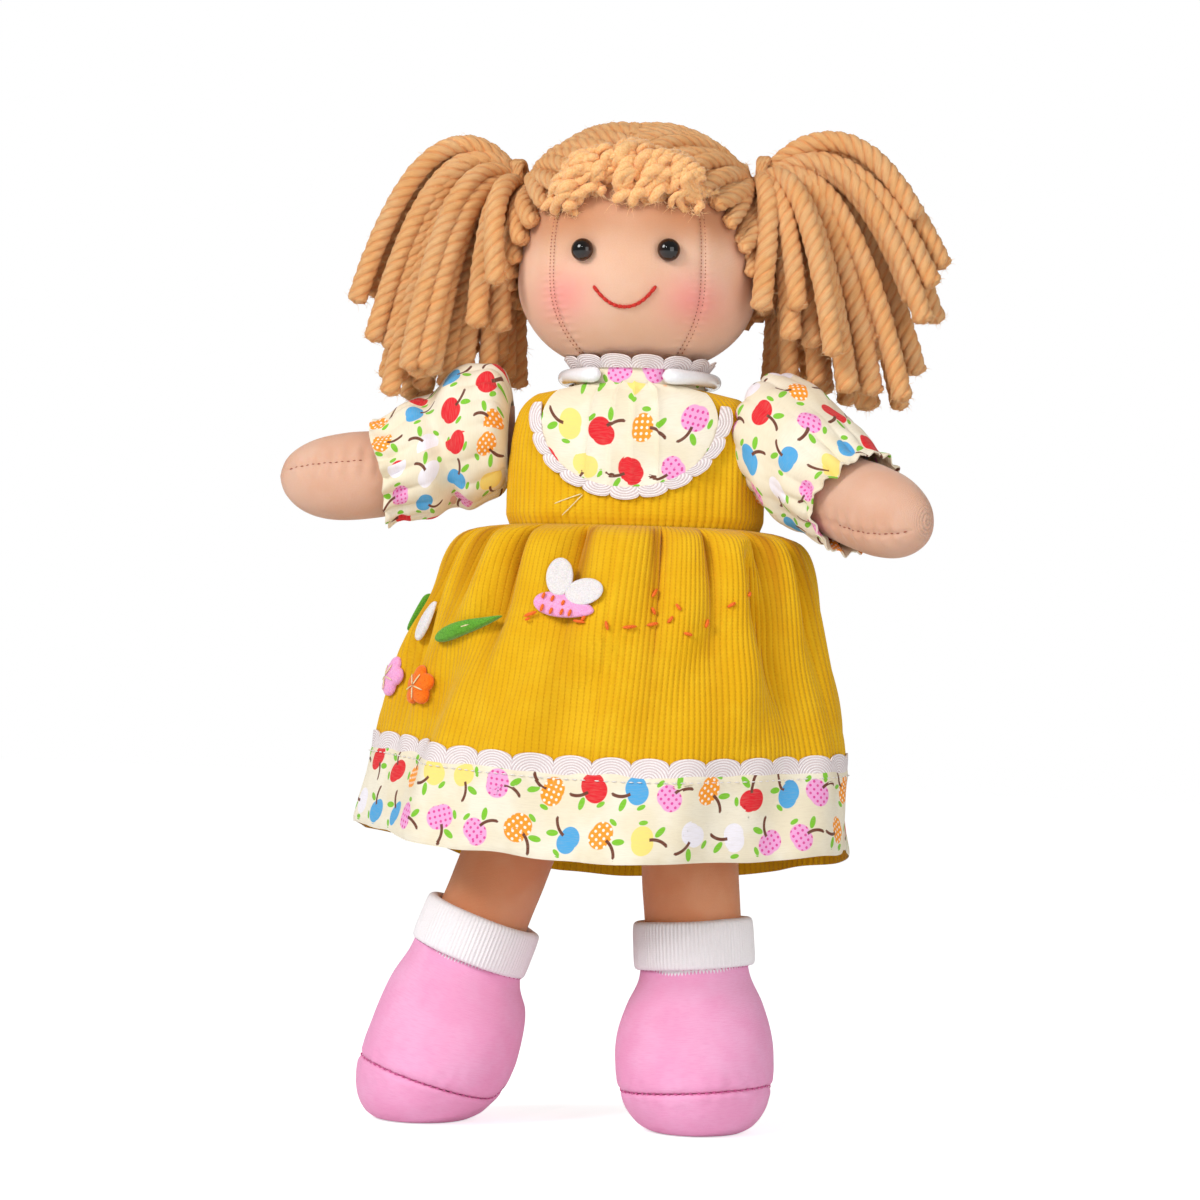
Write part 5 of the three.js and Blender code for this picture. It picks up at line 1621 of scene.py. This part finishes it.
def hem_band(side_name):
    side = SIDES[side_name]
    length = half_length(side)

    def place(s, t):
        angle = angle_along(side, s)
        down = 1.004 - (BAND / SKIRT_DROP + 0.004) * t
        crease = 0.3 * ripple((s * length, t * BAND, 0), 12, 6 + side) * fade(s, 0, 0.02)
        crease *= 1 - fade(s, 0.98, 1)
        lift = 0.75 + crease - 0.5 * (1 - fade(t, 0, 0.05)) - 0.25 * fade(t, 0.93, 1)
        return on_skirt(angle, down, lift + 0.18 * hump(t, 0.9, 0.05))

    mesh = moved_grid(240, 26, place, length, BAND, weld=False)
    if side < 0:
        # The print runs on over the front's middle
        mapped(mesh, lambda _, uv: (uv.x - length * MM, uv.y))
    thickened(mesh, 0.5)
    return skirt_piece(f"hem_print_{side_name}", mesh, "print", side_name, "fruit_print", ("hem_band",))


def hem_lace(side_name):
    side = SIDES[side_name]
    count = 18

    def at(run, up):
        angle = angle_along(side, min(max(run / count, 0), 1))
        down = 1 - (BAND - 1.2 + up) / SKIRT_DROP
        return on_skirt(angle, down, 0.62 + 0.2 * fade(up, 0, 6))

    mesh = shell_strip(count, at, TRIM + 1.2, 3.3)
    arc_map(mesh, 12.5, TRIM + 1.2)
    thickened(mesh, 0.5)
    return skirt_piece(f"hem_shell_lace_{side_name}", mesh, "lace", side_name, "white_lace", ("hem_lace",))


def skirt_at(angle, z, grow):
    down = (SKIRT_WAIST - z) / (SKIRT_WAIST - hem_height(angle))
    return on_skirt(angle, down, grow)


def hem_stitches(side_name):
    """The running stitch that holds the band over the braid."""
    side = SIDES[side_name]
    length = half_length(side)
    made = []
    run = 1.2
    while run < length - 2.5:
        places = []
        for step in (0, 2.1):
            angle = angle_along(side, (run + step) / length)
            places.append(on_skirt(angle, 1 - (BAND - 2.4) / SKIRT_DROP, 1.15))
        out = Vector((places[0].x, places[0].y, 0)).normalized()
        made.append(stitch(places[0], places[1], out, 0.22, 0.18, 5, 3))
        run += 2.9
    return skirt_piece(f"hem_stitches_{side_name}", gathered(made), "white", side_name, "white_lace")


# Felt and stitched decoration on the skirt

def skirt_frame(degrees, height):
    """Places a point s millimetres round and t up from there, grow off the cloth."""
    angle = math.radians(degrees)
    here = skirt_at(angle, height, 0)
    per_radian = (skirt_at(angle + 0.02, height, 0) - skirt_at(angle - 0.02, height, 0)).length / 0.04

    def place(s, t, grow):
        turned = angle + s / per_radian
        smooth = [skirt_at(turned + step, height + t, grow + 0.7) for step in (-0.1, -0.05, 0, 0.05, 0.1)]
        return sum(smooth, Vector()) / 5

    return place


def felt_patch(outline, spot, turn, thickness=1.9, dome=0.7, lift=0.6, columns=72):
    """A padded felt shape: outline(angle) is its edge, from its middle."""
    lean = math.radians(turn)
    profile = (
        (0, 0, 1), (.3, .6, .98), (.5, .88, .86), (.6, .97, .6), (.68, 1, .3), (.76, .97, 0), (1, 0, 0),
    )

    def place(s, t):
        share, height = along_table(profile, t)
        angle = TURN * s
        long, wide = (size * min(max(share, 0), 1) for size in outline(angle))
        x = long * math.cos(lean) - wide * math.sin(lean)
        y = long * math.sin(lean) + wide * math.cos(lean)
        return spot(x, y, lift + height * thickness + dome * (1 - share) * fade(height, 0.3, 0.9))

    return moved_grid(columns, 20, place, 20, 10)


def oval(long, wide, taper=0.0):
    """An oval that is long and wide from its middle, drawn in by taper towards its far end."""
    def outline(angle):
        forward = math.cos(angle)
        return long * forward, wide * math.sin(angle) * (1 - taper * (1 + forward) / 2)
    return outline


def petals(count, size, depth=0.22):
    def outline(angle):
        reach = size * (1 - depth + depth * abs(math.cos(count * angle / 2)) * 1.25)
        return reach * math.cos(angle), reach * math.sin(angle)
    return outline


FORWARD = Vector((0, -1, 0))


def felt_piece(node, name, mesh, colour):
    skirt_piece(name, mesh, colour, "right", colour, (node,))


def decorations():
    bee = skirt_frame(-101, 175)
    felt_piece("bee_body", "bee_felt_body", felt_patch(oval(10.6, 4.8, 0.35), bee, -9), "pink_felt")

    def shifted(x, y):
        return lambda s, t, grow: bee(s + x, t + y, grow)

    wings = gathered([
        felt_patch(oval(6.5, 4.7), shifted(-2.4, 9.6), 105, 1.0, 0.4, 1.9),
        felt_patch(oval(6.0, 4.5), shifted(6.6, 4.8), 12, 1.0, 0.4, 1.9),
    ])
    felt_piece("bee_wings", "bee_felt_wings", wings, "white_felt")

    marks = []
    stripes = (
        (-6.4, -3.4, -0.6), (-6.6, 1.0, 3.2), (-3.1, -3.6, -1.2), (-3.3, 0.6, 2.9), (0.6, -3.2, -0.9),
        (0.6, 0.0, 2.0), (3.4, -3.2, -0.6),
    )
    for x, low, high in stripes:
        lean = -0.16 * x
        start, end = bee(x - 0.1, low + lean, 3.05), bee(x + 0.5, high + lean, 3.1)
        marks.append(stitch(start, end, FORWARD, 0.55, 0.25, 8, 6))
    marks.append(stitch(bee(-13.6, -4.0, 1.0), bee(-8.4, -2.2, 1.4), FORWARD, 0.6, 0.4, 8, 6))
    marks.append(stitch(bee(-12.8, -5.2, 0.9), bee(-10.6, -4.4, 1.2), FORWARD, 0.45, 0.3, 8, 6))
    marks.append(stitch(bee(4.2, -4.8, 1.0), bee(8.4, -5.4, 1.0), FORWARD, 0.5, 0.4, 8, 6))
    skirt_piece("bee_stitches", gathered(marks), "orange", "right", "orange_thread")

    # Where each lies round and up the skirt, its outline, how it is turned, its thickness and its dome
    patches = (
        ("leaf_long", -132, 167, oval(13.2, 3.6, 0.7), 18, 2.4, 0.9, "green_felt"),
        ("leaf_short", -170, 172, oval(6.6, 2.6), 86, 2.6, 0.8, "green_felt"),
        ("petal_white", -157, 169, oval(6.8, 2.5), 80, 1.3, 0.4, "white_felt"),
        ("flower_orange", -149, 147, petals(5, 6.6), 90, 1.9, 0.5, "orange_felt"),
        ("flower_pink", -168, 150, petals(5, 6.6), 70, 1.9, 0.5, "pink_felt"),
    )
    spots = {}
    for node, degrees, height, outline, turned, thickness, dome, colour in patches:
        spots[node] = skirt_frame(degrees, height)
        felt_piece(node, f"{node}_felt", felt_patch(outline, spots[node], turned, thickness, dome), colour)

    leaf = spots["leaf_long"]
    veins = [stitch(leaf(-3, -0.9, 3.6), leaf(3.6, 1.0, 3.8), FORWARD, 0.28, 0.2, 6, 5)]
    lift = 2.9
    for spot in (spots["flower_orange"], spots["flower_pink"]):
        for turn in range(5):
            angle = math.radians(54 + 72 * turn)
            x, y = math.cos(angle), math.sin(angle)
            veins.append(stitch(spot(0, 0, lift + 0.4), spot(x * 5, y * 5, lift), FORWARD, 0.26, 0.2, 6, 5))
    skirt_piece("decoration_veins", gathered(veins), "cream", "right", "orange_thread")


# The bee's way, dash by dash: degrees round the skirt, height up it, lean in degrees and length
FLIGHT = {
    "right": ((-94.9, 171, 65, 2.6), (-89.9, 168.8, 100, 3.4)),
    "left": (
        (-85.3, 168.6, 8, 4.4), (-79.8, 169.8, 14, 4.2), (-75.4, 171.5, 55, 3), (-73.5, 175.7, 130, 3),
        (-79.8, 174.2, 120, 3), (-79.9, 180.2, 60, 3.6), (-70.3, 166.9, 170, 3.6),
        (-64.2, 170.7, 70, 3.4), (-56.7, 177.2, 30, 3.6), (-49.5, 181, 28, 3.4),
    ),
}


def flight_stitches():
    for side_name, dashes in FLIGHT.items():
        made = []
        for degrees, height, lean, length in dashes:
            angle = math.radians(degrees)
            x, y = math.cos(math.radians(lean)) * length / 2, math.sin(math.radians(lean)) * length / 2
            turned = x / (TORSO.half_width + 30)
            ends = [skirt_at(angle + way * turned, height + way * y, 0.35) for way in (-1, 1)]
            out = polar(angle, 1)
            made.append(stitch(*ends, out, 0.55, 0.6, 8, 6))
        name = f"flight_stitches_{side_name}"
        skirt_piece(name, gathered(made), "orange", side_name, "orange_thread", ("flight_thread",))


# Arms and sleeves

ARM_SHARES = (
    (-.018, .03, .8), (0, .08, .86), (.11, .26, .95), (.19, .52, .99), (.28, .85, 1), (.38, 1, .98),
    (.6, 1.02, .98), (.72, 1, .97), (.83, .86, .88), (.92, .62, .66), (.975, .34, .38), (1, .06, .06),
)
SLEEVE_SHARES = (
    (0, 10.2, 15), (.07, 17.4, 20.8), (.18, 20.6, 23.7), (.36, 21.2, 24.2), (.6, 19.7, 22.4),
    (.8, 17.6, 20), (.89, 16.2, 17.6), (1, 17.8, 18.4),
)
ARM_LENGTH, SLEEVE_LENGTH, ARM_SAG = 81, 42, 4
ARM_HALF_WIDTH, ARM_HALF_HEIGHT = 13.5, 15.5


def arm_axes(side):
    forward, drop = math.radians(ARM_SWING[side]), math.radians(ARM_DROP[side])
    along = Vector((
        side * math.cos(forward) * math.cos(drop), -math.sin(forward) * math.cos(drop), -math.sin(drop),
    ))
    level = Vector((along.x, along.y, 0)).normalized()
    return along, UP.cross(level)


def arm_middle(side, share, reach):
    along, _ = arm_axes(side)
    shoulder = Vector((side * SHOULDER_OUT, 0, SHOULDER_HEIGHT))
    sag = 4 * ARM_SAG * (reach / ARM_LENGTH) * max(share, 0) * (1 - (reach / ARM_LENGTH) * share)
    return shoulder + along * reach * share - UP * sag


ARM_SEAM = {1: math.pi + 0.5, -1: 0.3}


def arm_point(side, s, t, grow=0.0):
    share = -0.018 + 1.018 * t
    depth, height = along_table(ARM_SHARES, share)
    _, wide = arm_axes(side)
    angle = TURN * s * side
    # The stuffed hand is a little flat, with a seam along it that draws the cloth in
    off_seam = abs(math.atan2(math.sin(angle - ARM_SEAM[side]), math.cos(angle - ARM_SEAM[side]))) * 14
    draw = 0.7 * hump(off_seam, 0, 1.0) + 0.4 * math.sin(share * 95) * hump(off_seam, 2.0, 3.0)
    draw *= fade(share, 0.45, 0.6) * (1 - fade(share, 0.93, 1))
    middle = arm_middle(side, share, ARM_LENGTH)
    bulk = 0.35 * ripple(middle + Vector((0, math.cos(angle) * 9, math.sin(angle) * 9)), 9, 3) - draw
    bulk *= fade(share, 0.1, 0.3) * (1 - fade(share, 0.95, 1))
    wide_half, tall_half = max(ARM_HALF_WIDTH * depth, 0.02), max(ARM_HALF_HEIGHT * height, 0.02)
    if t in (0, 1):
        wide_half = tall_half = 0
        bulk = 0
    across = wide * ((wide_half + bulk + grow) * math.cos(angle))
    return middle + across + UP * ((tall_half + bulk + grow) * math.sin(angle))


def arm(side_name):
    side = SIDES[side_name]
    mesh = moved_grid(96, 120, lambda s, t: arm_point(side, s, t), 92, 80)
    bmesh.ops.recalc_face_normals(mesh, faces=mesh.faces)
    body = f"arm_{side_name}"
    made = piece(f"arm_skin_{side_name}", mesh, "skin", body, "skin_jersey", (body,))
    stitches = []
    share = 0.62
    s = (ARM_SEAM[side] / TURN * side) % 1
    while share < 0.94:
        start = arm_point(side, s, (share + 0.018) / 1.018, 0.12)
        end = arm_point(side, s, (share + 0.016 + 0.018) / 1.018, 0.12)
        out = (start - arm_middle(side, share, ARM_LENGTH)).normalized()
        stitches.append(stitch(start, end, out, 0.2, 0.12, 5, 3))
        share += 0.026
    piece(f"arm_seam_{side_name}", gathered(stitches), "brown", body, "skin_jersey")
    return made


SLEEVE_OVER = {1: 13, -1: 7}


def sleeve_point(side, s, t):
    """t runs from the shoulder seam to the cuff's frill, which reaches further over the top of the arm."""
    depth, height = along_table(SLEEVE_SHARES, t)
    _, wide = arm_axes(side)
    angle = TURN * s * side
    middle = arm_middle(side, t, SLEEVE_LENGTH + SLEEVE_OVER[side] * fade(math.sin(angle), -0.3, 1))
    middle = middle + UP * 7 * math.sin(math.pi * math.sqrt(min(max(t, 0), 1)))
    uneven = 0.5 * noise.noise(polar(angle, 1.6, 2.2 * side))
    root = 2 * abs(math.sin(7.5 * (angle + uneven * 0.4))) ** 0.7 - 1
    cuff = 2 * abs(math.sin(8 * (angle - uneven * 0.5) + 1)) ** 0.7 - 1
    gathers = 1.7 * math.exp(-t / 0.2) * root * fade(t, -0.02, 0.08)
    gathers += 1.3 * math.exp(-abs(0.89 - t) / 0.16) * cuff
    gathers += 1.1 * fade(t, 0.9, 1) * math.cos(16 * angle + 3 * uneven)
    round_it = middle + Vector((0, math.cos(angle) * 16, math.sin(angle) * 16))
    slack = 2.7 * ripple(round_it, 10, 7 + side) * math.sin(math.pi * t)
    fold = 0
    if side < 0:
        fold = -5.2 * hump(t, 0.52 + 0.08 * math.sin(angle), 0.09) * fade(-side * math.cos(angle), -0.5, 0.6)
    reach = gathers + slack + fold
    return middle + wide * ((depth + reach) * math.cos(angle)) + UP * ((height + reach) * math.sin(angle))


def sleeve(side_name):
    side = SIDES[side_name]
    mesh = moved_grid(220, 76, lambda s, t: sleeve_point(side, s, t), 140, 56)
    bmesh.ops.recalc_face_normals(mesh, faces=mesh.faces)
    thickened(mesh, 0.5)
    made = piece(f"sleeve_print_{side_name}", mesh, "print", None, "fruit_print", (f"sleeve_{side_name}",))
    shoulder = joint_places[f"shoulder_{side_name}"] * MM
    along, _ = arm_axes(side)
    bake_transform(made, "body", f"arm_{side_name}", start=shoulder, end=shoulder + along * 0.012)
    return made


# Legs, socks and feet

LEG_SHARES = (
    (-.017, .85, .03), (0, .9, .1), (.1, .95, .13), (.2, .99, .24), (.3, 1, .55), (.42, 1, .95),
    (.55, 1, 1), (1, 1, 1),
)
SHOE_SHARES = (
    (0, .52, .66, .97), (.01, .6, .74, .98), (.05, .74, .85, 1), (.14, .88, .95, 1.02), (.27, .97, 1, 1),
    (.42, 1, .97, .88), (.58, .97, .87, .6), (.76, .86, .72, .25), (.9, .72, .6, .06), (1, .67, .55, .02),
)
LEG_RADIUS, SHOE_SEAM = 16.5, 13.5
FOOT_HALF_WIDTH, FOOT_HALF_LENGTH, FOOT_FORWARD = 26.8, 31, -7


def hip_of(side):
    return Vector((side * HIP_OUT, 0, HIP_HEIGHT))


def ankle_of(side):
    spread = math.tan(math.radians(LEG_SPREAD[side]))
    return Vector((side * (HIP_OUT + (HIP_HEIGHT - ANKLE_HEIGHT) * spread), 0, ANKLE_HEIGHT))


def leg(side_name):
    side = SIDES[side_name]
    hip, ankle = hip_of(side), ankle_of(side) + UP * 0.4

    def place(s, t):
        share = -0.017 + 1.017 * t
        width, depth = along_table(LEG_SHARES, share)
        middle = hip.lerp(ankle, share)
        angle = TURN * s
        bulk = 0.35 * ripple(middle + polar(angle, 14), 12, 9) * fade(share, 0.1, 0.3)
        if t in (0, 1):
            return middle
        wide, deep = LEG_RADIUS * width + bulk, LEG_RADIUS * depth + bulk
        return middle + Vector((wide * math.cos(angle), deep * math.sin(angle), 0))

    mesh = moved_grid(90, 110, place, 104, 95)
    bmesh.ops.recalc_face_normals(mesh, faces=mesh.faces)
    body = f"leg_{side_name}"
    # The legs take the darker, more orange jersey: painted shade under the skirt.
    return piece(f"leg_skin_{side_name}", mesh, "leg", body, "skin_jersey", (body,))


SOCK_OUTLINE = (
    (0, 16.9, -4.0), (.05, 17.6, -4.0), (.1, 17.9, -3.5), (.3, 18.0, 3), (.36, 18.1, 3.4),
    (.39, 18.6, -0.7), (.42, 19.5, -1.6), (.46, 20.3, -0.6), (.6, 20.4, 6), (.76, 20.2, 12.4),
    (.82, 19.7, 14), (.87, 18.4, 14.6), (.93, 17.2, 14.2), (1, 16.7, 12),
)
SOCK_RIBS = 92


def sock(side_name):
    """A tube of rib knit with its top turned down over itself."""
    side = SIDES[side_name]
    ankle = ankle_of(side)
    axis = (hip_of(side) - ankle).normalized()
    turn = UP.rotation_difference(axis).to_matrix()
    foot = ankle + axis * 0.4

    def place(s, t):
        radius, height = along_table(SOCK_OUTLINE, t)
        angle = TURN * s
        rib = 0.22 * math.cos(TURN * SOCK_RIBS * s)
        sway = 0.5 * ripple(polar(angle, 2, side), 1.5, 3) * fade(t, 0.36, 0.5)
        height += sway * (1 if t < 0.9 else 0)
        return foot + turn @ polar(angle, radius + rib, height)

    mesh = moved_grid(SOCK_RIBS * 4, 52, place, 124, 44)
    bmesh.ops.recalc_face_normals(mesh, faces=mesh.faces)
    body, node = f"leg_{side_name}", f"sock_{side_name}"
    return piece(f"sock_knit_{side_name}", mesh, "rib", body, "white_rib_knit", (node,))


SEAM_TILT = {1: 1.9, -1: -6.9}
SEAM_RISE = {1: 1.6, -1: 1.4}


def seam_share(side, s):
    """The seam between upper and sole, as a share of the foot's height."""
    angle = TURN * s
    front = fade(-math.sin(angle), -0.7, 0.3)
    return (SHOE_SEAM + front * (SEAM_RISE[side] + SEAM_TILT[side] * math.cos(angle))) / ANKLE_HEIGHT


def shoe_point(side, s, up, grow=0.0):
    width, depth, reach = along_table(SHOE_SHARES, up)
    ankle = ankle_of(side)
    below = (1 - up) * ANKLE_HEIGHT
    slope = math.tan(math.radians(LEG_SPREAD[side])) * side
    lean = slope * 0.65
    angle = TURN * s
    height = ANKLE_HEIGHT - below
    square = slope * FOOT_HALF_WIDTH * width * math.cos(angle)
    square *= fade(up, 0.5, 1)
    off_seam = height - seam_share(side, s) * ANKLE_HEIGHT
    front = fade(-math.sin(angle), -0.9, 0.4)
    pucker = 0.6 * ripple((angle * 9, off_seam * 0.25, side), 1.0, 4) * hump(off_seam, 0, 7)
    draw = -0.75 * hump(off_seam, 0, 1.1) + pucker * front
    around = (math.cos(angle) * 25, math.sin(angle) * 30, height)
    bulk = 0.5 * ripple(around, 16, 12 + side) * fade(height, 2, 12)
    swell = grow + draw + bulk
    return Vector((
        ankle.x + below * lean + (FOOT_HALF_WIDTH * width + swell) * math.cos(angle),
        FOOT_FORWARD * reach + (FOOT_HALF_LENGTH * depth + swell) * math.sin(angle),
        height + square,
    ))


def foot(side_name):
    """The stuffed foot: an upper that ends in a seam, and the sole panel sewn to it there."""
    side = SIDES[side_name]
    middle = ankle_of(side)

    def closed(low, high):
        def place(s, t):
            share = min(max((t - 0.08) / 0.84, 0), 1)
            bottom, top = low(s), high(s)
            up = bottom + (top - bottom) * share
            point = shoe_point(side, s, up)
            inner = 1 - min(t / 0.08, (1 - t) / 0.08, 1)
            if inner <= 0:
                return point
            centre = sum((shoe_point(side, k / 8, up) for k in range(8)), Vector()) / 8
            return point.lerp(centre, inner)
        return place

    mesh = moved_grid(128, 84, closed(lambda s: seam_share(side, s) + 0.001, lambda s: 1.0), 150, 60)
    bmesh.ops.recalc_face_normals(mesh, faces=mesh.faces)
    piece(f"foot_upper_{side_name}", mesh, "pink", f"leg_{side_name}", "pink_cotton", (f"shoe_{side_name}",))
    mesh = moved_grid(128, 40, closed(lambda s: 0.0, lambda s: seam_share(side, s) - 0.001), 150, 22)
    bmesh.ops.recalc_face_normals(mesh, faces=mesh.faces)
    piece(f"foot_sole_{side_name}", mesh, "pink", f"leg_{side_name}", "pink_cotton", (f"sole_{side_name}",))

    stitches = []
    count = 62
    for i in range(count):
        start = shoe_point(side, i / count, seam_share(side, i / count), 0.25)
        end = shoe_point(side, (i + 0.62) / count, seam_share(side, (i + 0.62) / count), 0.25)
        out = (start - Vector((middle.x, FOOT_FORWARD, start.z))).normalized()
        wobble = UP * (0.25 * math.sin(i * 2.3))
        stitches.append(stitch(start + wobble, end - wobble, out, 0.24, 0.12, 5, 3))
    count = 44
    for i in range(count):
        start = shoe_point(side, i / count, 0.985, 0.2)
        end = shoe_point(side, (i + 0.45) / count, 0.985, 0.2)
        out = (start - Vector((middle.x, 0, start.z))).normalized()
        stitches.append(stitch(start, end - UP * 0.7, out, 0.26, 0.2, 5, 3))
    piece(f"foot_stitches_{side_name}", gathered(stitches), "rose", f"leg_{side_name}", "pink_cotton")


# The doll

add_camera()
head_skin()
seam_stitches()
mouth()
hair_cap()
fringe()
for name in SIDES:
    eye(name)
    bunch(name)
    hair_tie(name)
torso_skin()
neck_skin()
bodice()
bib()
bib_lace()
bib_threads()
collar()
collar_frill()
neck_clip()
back_closing()
for name in SIDES:
    skirt_half(name)
    hem_band(name)
    hem_lace(name)
    hem_stitches(name)
    arm(name)
    sleeve(name)
    leg(name)
    sock(name)
    foot(name)
decorations()
flight_stitches()


def declare_soft_pieces():
    made = {piece.name: piece for piece in scene.objects}
    collar_pieces = [made["collar_print"], made["collar_shell_frill"]]
    cloth(made["dress_top"], 235, 60, "hung", ["body_skin"], collar_pieces)
    cloth(made["bib_print"], 62, 38, "laid", ["dress_top"], [made["bib_shell_lace"], made["bib_thread_ends"]])
    cloth(made["placket"], 11, 36, "laid", ["fastener_tape"], [made["fastener_tape"]])
    for name, side in SIDES.items():
        length = half_length(side)
        cloth(made[f"skirt_{name}"], length, SKIRT_LENGTH, "gathered", ["dress_top"])
        trim = [made[f"hem_shell_lace_{name}"], made[f"hem_stitches_{name}"]]
        cloth(made[f"hem_print_{name}"], length, BAND, "laid", [f"skirt_{name}"], trim)
        cloth(made[f"sleeve_print_{name}"], 140, 56, "gathered", ["dress_top", f"arm_skin_{name}"])
        cloth(made[f"sock_knit_{name}"], 113, 44, "folded", [f"leg_skin_{name}"])


declare_soft_pieces()


# Studio

FLOOR_HALF, FLOOR_GLOW = 6, 0.67


def studio():
    mesh = bmesh.new()
    bmesh.ops.create_grid(mesh, x_segments=1, y_segments=1, size=FLOOR_HALF)
    data = bpy.data.meshes.new("studio_floor")
    mesh.to_mesh(data)
    mesh.free()
    floor = bpy.data.objects.new("studio_floor", data)
    scene.collection.objects.link(floor)
    material = bpy.data.materials.new("studio_floor")
    material.use_nodes = True
    web = Web(material.node_tree)
    shader = material.node_tree.nodes["Principled BSDF"]
    shader.inputs["Base Color"].default_value = (0.86, 0.86, 0.86, 1)
    shader.inputs["Roughness"].default_value = 0.9
    ray = web.add("LightPath")
    seen = web.maths("MAXIMUM", ray.outputs["Is Camera Ray"], ray.outputs["Is Glossy Ray"])
    web.feed(shader.inputs["Emission Strength"], web.maths("MULTIPLY", seen, FLOOR_GLOW))
    shader.inputs["Emission Color"].default_value = (1, 1, 1, 1)
    data.materials.append(material)

    world = bpy.data.worlds.new("studio")
    scene.world = world
    world.use_nodes = True
    web = Web(world.node_tree)
    background = world.node_tree.nodes["Background"]
    background.inputs["Color"].default_value = (1, 1, 1, 1)
    ray = web.add("LightPath")
    web.feed(background.inputs["Strength"], web.maths("MULTIPLY_ADD", ray.outputs["Is Camera Ray"], 0.6, 0.4))

    add_softbox("key_softbox", (-0.95, -1.15, 1.1), size=0.6, watts=17.8)
    add_softbox("fill_softbox", (1.0, -1.2, 0.5), size=0.9, watts=7.2)
    add_softbox("catch_light", (-0.2, -1.4, 0.9), size=0.06, watts=1.4)
    scene.view_settings.view_transform = "Standard"


studio()
